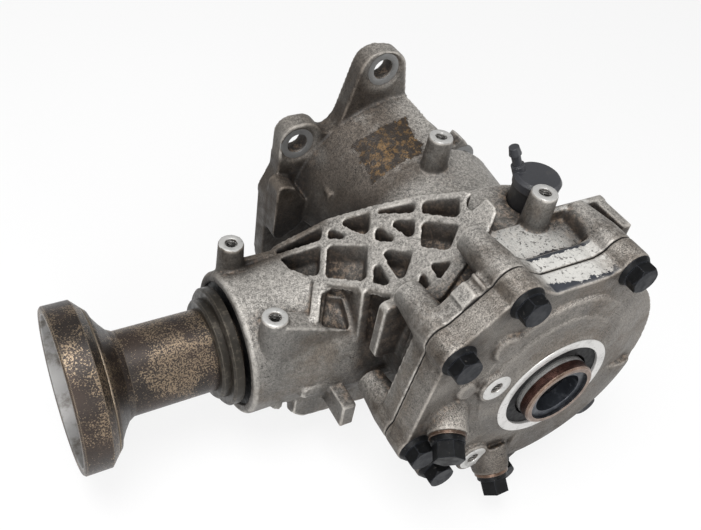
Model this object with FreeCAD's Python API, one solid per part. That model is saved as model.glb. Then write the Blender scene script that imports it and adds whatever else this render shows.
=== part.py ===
import FreeCAD, Part
import math
import os

V = FreeCAD.Vector

# Layout, in millimetres.
# The origin is on the input axis, on the face that bolts to the transaxle.
# +Y points to the transaxle, +X away from the output cup, and +Z up.
# A place along the input axis is given as its distance behind the bore face of the side cover.
CASE_DEPTH = 205.0
OUTPUT_BACK = 117.0
OUTPUT_DROP = 27.0

# Side cover and the joint it closes
COVER_RADIUS = 75.0
DOME_RISE = 7.0
RIM_THICKNESS = 15.0
JOINT_FLANGE = 12.0
COVER_WALL = 7.0
BORE_RING_RADIUS = 36.8
# Each bolt: x, z, and how far its seat is sunk behind the rim's face
COVER_BOLTS = ((32.0, 74.0, 0.0), (-41.0, 76.0, 0.0), (-73.0, 47.0, 0.0), (-82.5, -21.5, 0.0),
               (-63.0, -51.0, 0.0), (-7.0, -83.0, 0.0), (56.7, -55.5, 9.0))
LINKED_BOLTS = COVER_BOLTS[1:5]
LUG_RADIUS = 10.8
LUG_TAIL_RADIUS = 8.2
LUG_TAIL_BACK = 58.0
LUG_ROOT_RADIUS = 66.0
LUG_ROOT_WIDTH = 24.0
LINK_HALF = 8.5
TOP_LAND = 75.5
DOWEL_ANGLES = (133.0, 345.0)
DOWEL_RADIUS = 4.0
DOWEL_LENGTH = 16.0
HUB_WALL = 5.0
# Raised discs on the dome, off the input axis: radius, x, z and front face
DOME_STEPS = ((54.0, -3.0, 12.0, 4.0), (47.0, -5.0, 8.0, 2.2), (9.0, -44.0, 46.0, 3.2), (6.5, -62.0, 20.0, 3.5))
STEP_EDGE = 1.6
BULGE_RADIUS = 68.0
BULGE_FRONT = 2.5
BULGE_ANGLES = (-102.0, -8.0)
RIM_PAD = ((-53.0, 66.0), (-60.0, 59.5), 9.5)
RIM_RIB = ((-48.5, 69.5), (-50.0, 68.2), 10.0)

# Plugs and spare tapped bosses on the cover. A plug: x, z and back of its seat, and the way it points.
FILL_BOSS = ((-72.0, -4.5, -2.0), (-0.42, -0.86, -0.29))
DRAIN_BOSS = ((-23.3, -66.0, -2.0), (0.0, -0.70, -0.71))
SPARE_BOSSES = ((-44.7, 18.8), (-39.4, -49.5))
PLUG_BOSS_LENGTH = 16.0
PLUG_HOLE_LENGTH = 24.0
PLUG_RADIUS = 8.0
PLUG_BOSS_RADIUS = 11.0
PLUG_WASHER_RADIUS = 10.2
PLUG_WASHER_HEIGHT = 1.8
PLUG_HEX_FLATS = 15.0
PLUG_HEX_HEIGHT = 9.0
PLUG_LENGTH = 14.0
PLUG_FLANGE_HEIGHT = 3.0
SPARE_HOLE_RADIUS = 3.4
SPARE_HOLE_DEPTH = 12.0
SPARE_BOSS_FRONT = 1.0
SPARE_BOSS_RADIUS = 10.7

# Cover bolts: flange head, hexagon, and shank
BOLT_FLANGE_RADIUS = 10.2
BOLT_FLANGE_HEIGHT = 2.4
BOLT_HEX_FLATS = 15.0
BOLT_HEX_HEIGHT = 9.0
BOLT_RADIUS = 5.0
BOLT_LENGTH = 32.0
BOLT_HOLE_SPARE = 3.0
BOLT_HOLE_CLEARANCE = 0.5

# Case castings
CHAMBER_RADIUS = 63.0
CASE_WALL = 6.0
CHAMBER_BACK = 98.0
TOP_FLAT = 72.0
TOP_FLAT_BACK = 61.0
HOUSING_TOP = [(-31, TOP_FLAT), (46, TOP_FLAT), (56, 60), (56, -5), (-58, -5), (-58, 45)]
HOUSING_CORNERS = [6, 4, 4, 1, 1, 10]
TUBE_RADIUS = 51.0
WAIST_RADIUS = 57.0
WAIST_LENGTH = 14.0
SHOULDER_RADIUS_OUTSIDE = 60.0
SHOULDER_DEPTH = 58.0
FLARE_RADIUS = 73.0
FLARE_ANGLES = (43.8, 182.0)
FLANGE_THICKNESS = 13.0
PILOT_RADIUS = 42.0
PILOT_DEPTH = 14.0
FLANGE_HOLE_RADIUS = 6.5
FLANGE_SPOT_RADIUS = 12.0
FLANGE_SPOT_DEPTH = 1.5

# Oil seals: the bores they are pressed into
INPUT_SEAL_RADIUS = 33.0
PINION_SEAL_RADIUS = 37.5
SEAL_RADIUS = 31.0
SEAL_WIDTH = 10.0
SEAL_SET = 1.5
SEAL_LIP = 3.0

# Output nose
NOSE_RIM_X = -147.7
NOSE_RADIUS = 43.5
NOSE_ROOT_RADIUS = 49.0
NOSE_ROOT_X = -85.0
NOSE_END_X = -14.0

# Ribbed web between the nose and the gear chamber. Its top is a plane that falls towards the nose.
WEB_SLOPE = 0.75
WEB_HEIGHT = 96.0
WEB_FLOOR = -20.0
RIB_WIDTH = 3.8
POCKET_DEPTH = 14.0
SHELF_THICKNESS = 5.0
POCKET_CORNER = 2.2
# Nodes of the rib lattice: x, and distance behind the bore face
T0, T1, T2, T3, T4, T5 = (-108, 143), (-80, 134), (-59, 120), (-40, 105), (-24, 88), (-19, 73)
S0, S1, B2, S3, S4 = (-111, 138), (-86, 123), (-61, 115), (-45, 95), (-32, 73)
N2, E3, R4 = (-69, 101), (-55, 78), (-45, 62)
D0, D1, D2, D3, D4 = (-110, 120), (-97, 102), (-81, 79), (-72, 61), (-69, 53)
LATTICE_CELLS = [(T0, T1, S1, S0), (T1, N2, S1), (T1, T2, B2, N2), (T2, T3, S3, B2), (T3, T4, S4, S3),
                 (B2, E3, N2), (B2, S3, E3), (S3, S4, R4, E3), (S0, S1, D1, D0), (S1, N2, D2, D1),
                 (N2, D3, D2), (N2, E3, D3), (T4, (-6, 76), S4)]
SMALL_POCKETS = [[(-58.7, 66), (-66, 57), (-61, 54)], [(-54.5, 66), (-47, 58), (-56, 54)]]
WEB_OUTLINE = [T0, T1, T2, T3, T4, T5, (-20, 66), (-29, 59), (-43, 53), (-60, 46), D4, D3, D2, D1, D0, S0]
BAY_OUTLINE = [D4, D3, D2, (-95.5, 98), (-95.5, 111), (-74, 82), (-64, 62), (-61, 55)]

# Ribs, brackets and a leg on the case, as (distance behind the bore face, z), (x, z) or (x, distance) corners
TALL_RIB = [(78, 40), (70, -34), (112, -34), (112, 40)]
TALL_RIB_SPAN = (-86.0, -79.5)
BRACKET_RIB = [(-84, 37), (-72, 38), (-65, 29), (-61, 6), (-66, -3), (-84, -3)]
BRACKET_SPAN = (57.0, 64.0)
LOWER_RIB = [(-119, 70), (-38, 67), (-38, 100), (-119, 100)]
LOWER_RIB_SPAN = (-38.0, -31.0)
# The wall under the lower rib, and the wedge between the front post and the tall rib
LOWER_WALL = [(-119, -34), (-119, -60), (-112, -66), (-66, -71), (-50, -73), (-38, -60), (-38, -34)]
LOWER_WALL_SPAN = (76.0, 96.0)
POST_WALL = [(-131, 20), (-86, 1), (-80, 1), (-80, -20), (-131, -20)]
POST_WALL_SPAN = (78.0, 92.0)
LEG_RADIUS = 5.5
LEG_PLACE = (-108.0, 92.0)
LEG_SPAN = (-78.0, -40.0)
FLANGE_PAD = [(-90, 31), (-78, 27), (-67, 12), (-66, 0), (-74, -8), (-90, -18)]
FLANGE_PAD_LENGTH = 14.0
# Plain blocks: spans along x, behind the bore face, and z
SIDE_BLOCKS = ((-101.0, -95.5, 95.0, 112.0, 0.0, 21.0),
               (-101.0, -92.0, 52.0, 80.0, -52.0, -34.0),
               (8.0, 54.0, 56.5, TOP_FLAT_BACK, 55.0, 79.0),
               (47.0, 54.0, 34.0, TOP_FLAT_BACK, 50.0, 78.0),
               (-134.0, -100.0, 139.5, 143.5, -15.0, 14.0),
               (-62.0, -54.0, 163.0, 193.0, 5.0, 29.0))
# The hollow step beside the tall rib: spans as above
SIDE_STEP = (-95.5, -86.0, 60.0, 101.0, 14.0, 60.0)

# Posts that carry a shield: radius, hole and the places of their tops
POST_RADIUS = 7.5
POST_FOOT_GROWTH = 1.2
POST_HOLE_RADIUS = 3.4
POST_HOLE_DEPTH = 18.0
POST_FAIRING_TOP = 8.0
POST_FAIRING = ((-133.5, 86.2, 7.8), (-131.0, 77.0, 3.5, -46.0))
POSTS = ((-136.4, 141.6, 28.9, -10.0), (-133.5, 86.2, 21.9, -20.0), (-7.3, 136.7, 80.0, 40.0),
         (4.7, 58.5, 94.0, 60.0))

# Mounting flange: its ears and its outline, with a corner radius for each corner
EARS = ((-17.3, 93.6), (-71.5, 49.0), (-72.0, -58.0), (38.0, -74.0), (66.0, 8.0))
FLANGE_OUTLINE = [(-31, 108), (-3, 104), (4, 68), (30, 50), (66, 24), (80, 6), (66, -16), (52, -60),
                  (40, -90), (20, -80), (-50, -70), (-84, -74), (-90, -42), (-91, 14), (-84, 30), (-83, 63),
                  (-62, 64), (-52, 52), (-43, 60)]
FLANGE_CORNERS = [14, 13, 8, 20, 12, 12, 12, 12, 13, 14, 20, 13, 12, 6, 12, 13, 12, 12, 16]

# Input shaft
SHAFT_RADIUS = 22.5
SHAFT_BORE_RADIUS = 15.0
SHAFT_PROUD = 7.0
SPLINE_TEETH = 26
SPLINE_DEPTH = 1.6
SPLINE_LENGTH = 30.0
SHOULDER_RADIUS = 27.0
INNER_RING_RADIUS = 19.0
INNER_RING_BORE = 14.5
INNER_RING_WIDTH = 9.0
INNER_RING_SET = 2.0

# Tapered roller bearings on the input shaft
INPUT_BEARING_RADIUS = 37.5
INPUT_BEARING_WIDTH = 20.0
FRONT_BEARING_BACK = 13.0
REAR_BEARING_DEPTH = 35.0
BEARING_STOP = 4.0
BEARING_STOP_LENGTH = 6.0
ROLLER_TILT = 12.0
ROLLER_TAPER = 1.4
ROLLER_SLACK = 0.05
ROLLER_SPACING = 1.3

# Ring gear and pinion
RING_TEETH = 32
PINION_TEETH = 12
RING_RADIUS = 60.0
RING_INNER_RADIUS = 43.0
RING_BORE_RADIUS = 36.0
RING_BACK_FACE = 70.0
RING_MESH_RADIUS = 52.0
RING_SPIRAL = 12.0
TOOTH_DEPTH = 6.0
ROOT_CLEARANCE = 0.8
TOOTH_SHARE = 0.36
PINION_TAPER = 9.0
PINION_FACE = 22.0
RING_BOLTS = 8
RING_FLANGE_BACK = 57.0
RING_FLANGE_RADIUS = 52.0
RING_PILOT_LENGTH = 8.0
RING_BOLT_CIRCLE = 44.0
RING_BOLT_RADIUS = 4.0
RING_BOLT_FLATS = 13.0
RING_BOLT_HEAD = 6.0
RING_BOLT_GRIP = 26.0

# Pinion shaft and its bearings
PINION_SHAFT_RADIUS = 17.5
PINION_NECK_RADIUS = 15.0
HEAD_BEARING_RADIUS = 36.0
HEAD_BEARING_WIDTH = 22.0
HEAD_BEARING_X = -60.0
TAIL_BEARING_RADIUS = 31.0
TAIL_BEARING_WIDTH = 18.0
TAIL_BEARING_X = -112.0
SHIM_THICKNESS = 1.5
PINION_ROOM_RADIUS = 34.0
PINION_ROOM_END = -20.0
SPLINE_START_X = -150.0
NUT_SEAT_X = -198.0
SPLINE_END_X = NUT_SEAT_X + 1.0
THREAD_RADIUS = 11.0
THREAD_END_X = -214.0

# Output cup
CUP_RIM_X = -242.6
CUP_RADIUS = 47.5
CUP_WIDTH = 15.0
CUP_BORE_RADIUS = 43.0
CUP_BORE_DEPTH = 22.0
CUP_TAPER = 15.0
CUP_NECK_RADIUS = 24.7
NUT_FLATS = 32.0
NUT_HEIGHT = 10.0
NUT_POCKET_RADIUS = 20.0
SLINGER_X = -161.0
SLINGER_SMALL_RADIUS = 30.0
SLINGER_SMALL_WIDTH = 5.0
SLINGER_LARGE_RADIUS = 35.6
SLINGER_LARGE_WIDTH = 6.0

# Breather
VENT_X = 18.0
VENT_BACK = 78.0
VENT_HOLE_RADIUS = 6.0
VENT_SEAT = 65.0
VENT_STEM = 4.5
CAP_RADIUS = 14.0
CAP_BOTTOM = 81.0
CAP_TOP = 88.0
BREATHER_RADIUS = 12.6
HOSE_RADIUS = 2.7
HOSE_REACH = 18.0
HOSE_COLLAR = 7.5
HOSE_START = (-6.4, 7.6)
HOSE_WAY = (-0.38, 0.20, 0.90)

# Fits
RUNNING = 0.05
FREE_GAP = 0.35


def back(distance):
    """Y of a place that lies this far behind the bore face of the side cover."""
    return distance - CASE_DEPTH


REAR_BEARING_BACK = CASE_DEPTH - REAR_BEARING_DEPTH - INPUT_BEARING_WIDTH
SHAFT_END_BACK = CASE_DEPTH - PILOT_DEPTH - FREE_GAP
SHOULDER_BACK = CASE_DEPTH - SHOULDER_DEPTH
WAIST_BACK = CHAMBER_BACK + WAIST_LENGTH
OUTPUT_Y = back(OUTPUT_BACK)
OUTPUT_Z = -OUTPUT_DROP
JOINT_BACK = DOME_RISE + RIM_THICKNESS
CASE_RADIUS = CHAMBER_RADIUS + CASE_WALL
NECK_END_X = TAIL_BEARING_X - TAIL_BEARING_WIDTH


def rod_y(radius, start, end, x=0.0, z=0.0):
    """A cylinder along Y between two distances behind the bore face."""
    return Part.makeCylinder(radius, end - start, V(x, back(start), z), V(0, 1, 0))


def rod_x(radius, start, end, y=OUTPUT_Y, z=OUTPUT_Z):
    """A cylinder along X, on the output axis unless a place is given."""
    return Part.makeCylinder(radius, end - start, V(start, y, z), V(1, 0, 0))


def rod_z(radius, bottom, top, x, y):
    """An upright cylinder."""
    return Part.makeCylinder(radius, top - bottom, V(x, y, bottom), V(0, 0, 1))


def box(x0, x1, y0, y1, z0, z1):
    """A block between two corners."""
    return Part.makeBox(x1 - x0, y1 - y0, z1 - z0, V(x0, y0, z0))


def loop(points):
    """A closed wire through the points."""
    return Part.makePolygon(list(points) + [points[0]])


def turned_y(profile):
    """A solid turned about the input axis from (radius, distance behind the bore face) pairs."""
    wire = loop([V(r, back(d), 0) for r, d in profile])
    return Part.Face(wire).revolve(V(0, 0, 0), V(0, 1, 0), 360)


def turned_x(profile):
    """A solid turned about the output axis from (x, radius) pairs."""
    wire = loop([V(x, OUTPUT_Y, OUTPUT_Z + r) for x, r in profile])
    return Part.Face(wire).revolve(V(0, OUTPUT_Y, OUTPUT_Z), V(1, 0, 0), 360)


def rounded(points, radius):
    """A closed wire of straight sides with a tangent arc at each corner."""
    edges = []
    ends = []
    count = len(points)
    for i, corner in enumerate(points):
        before = (points[i - 1] - corner)
        after = (points[(i + 1) % count] - corner)
        half = before.getAngle(after) / 2
        size = radius[i] if isinstance(radius, (list, tuple)) else radius
        room = 0.48 * min(before.Length, after.Length)
        reach = min(size / math.tan(half), room)
        size = reach * math.tan(half)
        before.normalize()
        after.normalize()
        middle = (before + after).normalize()
        start = corner + before * reach
        end = corner + after * reach
        centre = corner + middle * (size / math.sin(half))
        ends.append((start, centre - middle * size, end))
    for i, (start, mid, end) in enumerate(ends):
        edges.append(Part.Arc(start, mid, end).toShape())
        edges.append(Part.LineSegment(end, ends[(i + 1) % count][0]).toShape())
    return Part.Wire(edges)


def plate_y(points, radius, start, end):
    """A plate across Y from (x, z) corners, between two distances behind the bore face."""
    wire = rounded([V(x, back(start), z) for x, z in points], radius)
    return Part.Face(wire).extrude(V(0, end - start, 0))


def plate_z(points, radius, bottom, top):
    """An upright prism from (x, distance behind the bore face) corners."""
    wire = rounded([V(x, back(d), bottom) for x, d in points], radius)
    return Part.Face(wire).extrude(V(0, 0, top - bottom))


def joined(shapes):
    """One clean solid from shapes that overlap."""
    return shapes[0].fuse(shapes[1:]).removeSplitter()


def polar(radius, angle):
    """X and Z at an angle from +X towards +Z about the input axis."""
    return radius * math.cos(math.radians(angle)), radius * math.sin(math.radians(angle))


def hexagon_y(flats, start, end, x, z):
    """A hexagonal prism along Y."""
    radius = flats / math.sqrt(3)
    corners = [V(x + radius * math.cos(math.radians(60 * i)), back(start),
                 z + radius * math.sin(math.radians(60 * i))) for i in range(6)]
    return Part.Face(loop(corners)).extrude(V(0, end - start, 0))


def hexagon_z(flats, bottom, top, x, y):
    """An upright hexagonal prism."""
    radius = flats / math.sqrt(3)
    corners = [V(x + radius * math.cos(math.radians(60 * i)),
                 y + radius * math.sin(math.radians(60 * i)), bottom) for i in range(6)]
    return Part.Face(loop(corners)).extrude(V(0, 0, top - bottom))


def placed(shape, origin, direction):
    """A shape modelled about +Z, moved to an origin and turned to a direction."""
    moved = shape.copy()
    moved.Placement = FreeCAD.Placement(origin, FreeCAD.Rotation(V(0, 0, 1), direction))
    return moved


def sector(radius, first, last, start, end):
    """A wedge about the input axis between two angles."""
    middle = (first + last) / 2
    corners = [V(0, back(start), 0)]
    for angle in (first, middle, last):
        x, z = polar(radius * 2, angle)
        corners.append(V(x, back(start), z))
    return Part.Face(loop(corners)).extrude(V(0, end - start, 0))


def plate_x(points, radius, start, end):
    """A plate across X from (distance behind the bore face, z) corners, between two x values."""
    wire = rounded([V(start, back(d), z) for d, z in points], radius)
    return Part.Face(wire).extrude(V(end - start, 0, 0))


# Cover bolts

DOWEL_PLACES = [polar((CHAMBER_RADIUS + COVER_RADIUS) / 2, a) for a in DOWEL_ANGLES]


def lug_web(first, second, half, start, end):
    """A plate across Y from one (x, z) place to another, with a half-width at each."""
    along = V(second[0] - first[0], 0, second[1] - first[1]).normalize()
    side = V(-along.z, 0, along.x)
    p0 = V(first[0], back(start), first[1])
    p1 = V(second[0], back(start), second[1])
    corners = [p0 + side * half[0], p1 + side * half[1], p1 - side * half[1], p0 - side * half[0]]
    return Part.Face(loop(corners)).extrude(V(0, end - start, 0))


def cover_outline(start, end):
    """The shared outline of the cover and the case joint: a disc with lugs and a flat top."""
    shapes = [rod_y(COVER_RADIUS, start, end)]
    for x, z, _ in COVER_BOLTS:
        reach = LUG_ROOT_RADIUS / math.hypot(x, z)
        shapes.append(lug_web((x * reach, z * reach), (x, z), (LUG_ROOT_WIDTH, LUG_RADIUS), start, end))
        shapes.append(rod_y(LUG_RADIUS, start, end, x, z))
    for first, second in zip(LINKED_BOLTS, LINKED_BOLTS[1:]):
        shapes.append(lug_web(first, second, (LINK_HALF, LINK_HALF), start, end))
    shapes.append(box(COVER_BOLTS[1][0], COVER_BOLTS[0][0], back(start), back(end), COVER_RADIUS / 2,
                      TOP_LAND))
    return joined(shapes)


def bolt(x, z, seat):
    """One flange bolt, its head in front of the seat."""
    shank = rod_y(BOLT_RADIUS, seat, seat + BOLT_LENGTH, x, z)
    flange_back = seat
    flange_front = seat - BOLT_FLANGE_HEIGHT
    flange = Part.makeCone(BOLT_FLANGE_RADIUS - 1.6, BOLT_FLANGE_RADIUS, BOLT_FLANGE_HEIGHT,
                           V(x, back(flange_front), z), V(0, 1, 0))
    head = hexagon_y(BOLT_HEX_FLATS, flange_back - BOLT_HEX_HEIGHT, flange_back, x, z)
    crown = Part.makeCone(BOLT_HEX_FLATS / 2, BOLT_HEX_FLATS / 2 + 3.0, 3.0,
                          V(x, back(flange_back - BOLT_HEX_HEIGHT), z), V(0, 1, 0))
    barrel = rod_y(BOLT_HEX_FLATS, flange_back - BOLT_HEX_HEIGHT + 3.0, flange_back, x, z)
    head = head.common(crown.fuse(barrel))
    return joined([shank, flange, head])


def cover_bolts():
    """The bolts that close the cover, one to each lug."""
    return Part.makeCompound([bolt(x, z, DOME_RISE + sunk) for x, z, sunk in COVER_BOLTS])


def dowel_pins():
    """Two dowels that register the cover on the case."""
    start = JOINT_BACK - DOWEL_LENGTH / 2
    return Part.makeCompound([rod_y(DOWEL_RADIUS, start, start + DOWEL_LENGTH, x, z)
                              for x, z in DOWEL_PLACES])


# Side cover

def boss_frame(place):
    """The seat centre of a plug boss as a point, with the way it points."""
    (x, z, distance), way = place
    return V(x, back(distance), z), V(*way).normalize()


def raised_disc(radius, x, z, front):
    """A raised disc on the dome with a sloping edge."""
    edge = Part.makeCone(radius - STEP_EDGE, radius, STEP_EDGE, V(x, back(front), z), V(0, 1, 0))
    return edge.fuse(rod_y(radius, front + STEP_EDGE, JOINT_BACK, x, z))


def side_cover():
    """The domed cover with its bearing hub, plug bosses and spare tapped bosses."""
    hub = INPUT_BEARING_RADIUS + HUB_WALL
    hub_end = FRONT_BEARING_BACK + INPUT_BEARING_WIDTH
    rim = cover_outline(DOME_RISE, JOINT_BACK)
    dome = turned_y([(0, 0), (BORE_RING_RADIUS, 0), (BORE_RING_RADIUS + 1.5, 1.2), (46, 2.8), (60, 5.0),
                     (CHAMBER_RADIUS + 3, DOME_RISE), (CHAMBER_RADIUS + 3, JOINT_BACK), (0, JOINT_BACK)])
    bulge = turned_y([(0, BULGE_FRONT - 1), (BULGE_RADIUS - 6, BULGE_FRONT - 1), (BULGE_RADIUS, BULGE_FRONT),
                      (COVER_RADIUS - 1.5, DOME_RISE - 0.5), (COVER_RADIUS, DOME_RISE + 1.5),
                      (COVER_RADIUS, JOINT_BACK), (0, JOINT_BACK)])
    bulge = bulge.common(sector(COVER_RADIUS, *BULGE_ANGLES, 0, JOINT_BACK))
    shapes = [rim, dome, bulge] + [raised_disc(*step) for step in DOME_STEPS]
    for x, z in SPARE_BOSSES:
        shapes.append(rod_y(SPARE_BOSS_RADIUS, SPARE_BOSS_FRONT, JOINT_BACK, x, z))
    for place in (FILL_BOSS, DRAIN_BOSS):
        seat, way = boss_frame(place)
        shapes.append(Part.makeCone(PLUG_BOSS_RADIUS, PLUG_BOSS_RADIUS + 2, PLUG_BOSS_LENGTH, seat, -way))
    body = joined(shapes)
    inner = CHAMBER_RADIUS
    hollow = turned_y([(0, COVER_WALL + 1), (inner - 6, COVER_WALL + 3), (inner, DOME_RISE + COVER_WALL),
                       (inner, JOINT_BACK + 1), (0, JOINT_BACK + 1)])
    body = body.cut([hollow, rod_y(COVER_RADIUS * 2, JOINT_BACK, JOINT_BACK * 2)])
    bosses = [rod_y(SPARE_BOSS_RADIUS, COVER_WALL, SPARE_HOLE_DEPTH + COVER_WALL, x, z)
              for x, z in SPARE_BOSSES]
    body = joined([body, rod_y(hub, COVER_WALL, hub_end)] + bosses)
    cuts = [rod_y(SEAL_RADIUS, -1, FRONT_BEARING_BACK, 0, 0),
            rod_y(INPUT_BEARING_RADIUS, FRONT_BEARING_BACK, hub_end + 1)]
    for x, z, sunk in COVER_BOLTS:
        seat = DOME_RISE + sunk
        cuts.append(rod_y(BOLT_RADIUS + BOLT_HOLE_CLEARANCE, seat - 1, JOINT_BACK + 1, x, z))
        cuts.append(rod_y(BOLT_FLANGE_RADIUS + 0.6, -8, seat, x, z))
    for x, z in DOWEL_PLACES:
        cuts.append(rod_y(DOWEL_RADIUS, JOINT_BACK - DOWEL_LENGTH / 2, JOINT_BACK + 1, x, z))
    for x, z in SPARE_BOSSES:
        cuts.append(rod_y(SPARE_HOLE_RADIUS, 0, SPARE_BOSS_FRONT + SPARE_HOLE_DEPTH, x, z))
    for place in (FILL_BOSS, DRAIN_BOSS):
        seat, way = boss_frame(place)
        cuts.append(Part.makeCylinder(PLUG_RADIUS, PLUG_HOLE_LENGTH, seat + way, -way))
        cuts.append(Part.makeCylinder(PLUG_WASHER_RADIUS + 0.6, PLUG_HOLE_LENGTH, seat, way))
    return body.cut(cuts)


def plug(place):
    """A hexagon plug screwed into its boss."""
    rise = PLUG_WASHER_HEIGHT + PLUG_FLANGE_HEIGHT
    flange = rod_z(PLUG_WASHER_RADIUS - 1, PLUG_WASHER_HEIGHT, rise, 0, 0)
    head = hexagon_z(PLUG_HEX_FLATS, PLUG_WASHER_HEIGHT, rise + PLUG_HEX_HEIGHT, 0, 0)
    stem = rod_z(PLUG_RADIUS, -PLUG_LENGTH, PLUG_WASHER_HEIGHT, 0, 0)
    return placed(joined([flange, head, stem]), *boss_frame(place))


def plug_washer(place):
    """The soft washer under a plug."""
    disc = rod_z(PLUG_WASHER_RADIUS, 0, PLUG_WASHER_HEIGHT, 0, 0)
    return placed(disc.cut(rod_z(PLUG_RADIUS, -1, PLUG_WASHER_HEIGHT + 1, 0, 0)), *boss_frame(place))


# Main case

def web_top(x):
    """Height of the web's sloping top above the input axis."""
    return WEB_HEIGHT + WEB_SLOPE * x


def above_web(drop):
    """Everything above the web's top, or above a plane that lies this far below it."""
    left, right, sky = -220.0, 90.0, 300.0
    corners = [V(left, back(-20), web_top(left) - drop), V(right, back(-20), web_top(right) - drop),
               V(right, back(-20), sky), V(left, back(-20), sky)]
    return Part.Face(loop(corners)).extrude(V(0, CASE_DEPTH + 60, 0))


def inset(points, amount):
    """The corners of a flat outline, each side moved in by an amount."""
    count = len(points)
    area = sum(points[i][0] * points[(i + 1) % count][1] - points[(i + 1) % count][0] * points[i][1]
               for i in range(count))
    turn = 1.0 if area > 0 else -1.0
    sides = []
    for i in range(count):
        (x0, y0), (x1, y1) = points[i], points[(i + 1) % count]
        length = math.hypot(x1 - x0, y1 - y0)
        nx, ny = -turn * (y1 - y0) / length, turn * (x1 - x0) / length
        sides.append((nx, ny, nx * x0 + ny * y0 + amount))
    corners = []
    for i in range(count):
        (a, b, e), (c, d, f) = sides[i - 1], sides[i]
        size = a * d - b * c
        corners.append(((e * d - b * f) / size, (a * f - e * c) / size))
    return corners


def web():
    """The web block under the lattice, with its pockets sunk from the sloping top."""
    block = plate_z(inset(WEB_OUTLINE, -RIB_WIDTH / 2), 3.0, WEB_FLOOR, 120.0)
    bays = plate_z(inset(BAY_OUTLINE, -RIB_WIDTH / 2), 1.0, WEB_FLOOR - 1, 120.0)
    block = block.cut([above_web(0), bays.cut(above_web(SHELF_THICKNESS))])
    pockets = [plate_z(inset(cell, RIB_WIDTH / 2), POCKET_CORNER, WEB_FLOOR, 120.0) for cell in LATTICE_CELLS]
    pockets += [plate_z(cell, 1.0, WEB_FLOOR, 120.0) for cell in SMALL_POCKETS]
    pockets = Part.makeCompound(pockets).common(above_web(POCKET_DEPTH))
    return block, pockets


def post(x, distance, top, foot):
    """A tapered upright post, wider at its foot."""
    return Part.makeCone(POST_RADIUS + POST_FOOT_GROWTH, POST_RADIUS, top - foot,
                         V(x, back(distance), foot), V(0, 0, 1))


def post_fairing():
    """The long taper that carries the front post down the side of the nose."""
    (x0, d0, r0), (x1, d1, r1, z1) = POST_FAIRING
    rings = [Part.Wire(Part.Circle(V(x0, back(d0), POST_FAIRING_TOP), V(0, 0, 1), r0).toShape()),
             Part.Wire(Part.Circle(V(x1, back(d1), z1), V(0, 0, 1), r1).toShape())]
    return Part.makeLoft(rings, True)


def nose():
    """The barrel that holds the pinion bearings."""
    return turned_x([(NOSE_RIM_X, 0), (NOSE_RIM_X, NOSE_RADIUS - 1.5), (NOSE_RIM_X + 1.5, NOSE_RADIUS),
                     (NOSE_RIM_X + 22, NOSE_RADIUS), (NOSE_ROOT_X, NOSE_ROOT_RADIUS),
                     (NOSE_END_X - 22, NOSE_ROOT_RADIUS - 4), (NOSE_END_X - 6, NOSE_ROOT_RADIUS - 14),
                     (NOSE_END_X, NOSE_ROOT_RADIUS - 24), (NOSE_END_X, 0)])


def case_body():
    """The turned forms of the case about the input axis, and its flat top."""
    flange_front = CASE_DEPTH - FLANGE_THICKNESS
    joint_end = JOINT_BACK + JOINT_FLANGE
    barrel = turned_y([(0, JOINT_BACK), (CASE_RADIUS, JOINT_BACK), (CASE_RADIUS, CHAMBER_BACK),
                       (WAIST_RADIUS + 3, CHAMBER_BACK + WAIST_LENGTH / 2), (WAIST_RADIUS, WAIST_BACK),
                       (SHOULDER_RADIUS_OUTSIDE, SHOULDER_BACK - 2), (SHOULDER_RADIUS_OUTSIDE, SHOULDER_BACK),
                       (TUBE_RADIUS + 1, SHOULDER_BACK + 15), (TUBE_RADIUS, SHOULDER_BACK + 20),
                       (TUBE_RADIUS, CASE_DEPTH), (0, CASE_DEPTH)])
    flare = turned_y([(0, SHOULDER_BACK - 9), (WAIST_RADIUS + 1, SHOULDER_BACK - 9),
                      (FLARE_RADIUS, flange_front - 3), (FLARE_RADIUS, flange_front + 1), (0, flange_front + 1)])
    flare = flare.common(sector(FLARE_RADIUS, *FLARE_ANGLES, SHOULDER_BACK - 20, CASE_DEPTH))
    top = plate_y(HOUSING_TOP, HOUSING_CORNERS, JOINT_BACK + 2, TOP_FLAT_BACK)
    pads = [lug_web(first, second, (half, half), JOINT_BACK + 1, joint_end)
            for first, second, half in (RIM_PAD, RIM_RIB)]
    return joined([barrel, flare, top, cover_outline(JOINT_BACK, joint_end)] + pads)


def mounting_flange():
    """The plate that bolts to the transaxle."""
    front = CASE_DEPTH - FLANGE_THICKNESS
    return plate_y(FLANGE_OUTLINE, FLANGE_CORNERS, front, CASE_DEPTH)


def side_details():
    """Ribs, ledges and bosses on the side of the case that faces the cover."""
    flange_front = CASE_DEPTH - FLANGE_THICKNESS
    shapes = [
        plate_x(TALL_RIB, 2.0, *TALL_RIB_SPAN).cut(above_web(0)),
        plate_y(BRACKET_RIB, 4.0, *BRACKET_SPAN),
        plate_z(LOWER_RIB, 2.0, *LOWER_RIB_SPAN),
        plate_y(LOWER_WALL, 2.0, *LOWER_WALL_SPAN),
        plate_y(POST_WALL, 1.5, *POST_WALL_SPAN),
        rod_z(LEG_RADIUS, *LEG_SPAN, LEG_PLACE[0], back(LEG_PLACE[1])),
        rod_z(BREATHER_RADIUS + 3, VENT_SEAT - 25, VENT_SEAT, VENT_X, back(VENT_BACK)),
        plate_y(FLANGE_PAD, 5.0, flange_front - FLANGE_PAD_LENGTH, flange_front + 1),
        post_fairing(),
    ]
    for x0, x1, start, end, bottom, top in SIDE_BLOCKS:
        shapes.append(box(x0, x1, back(start), back(end), bottom, top))
    return shapes


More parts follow.
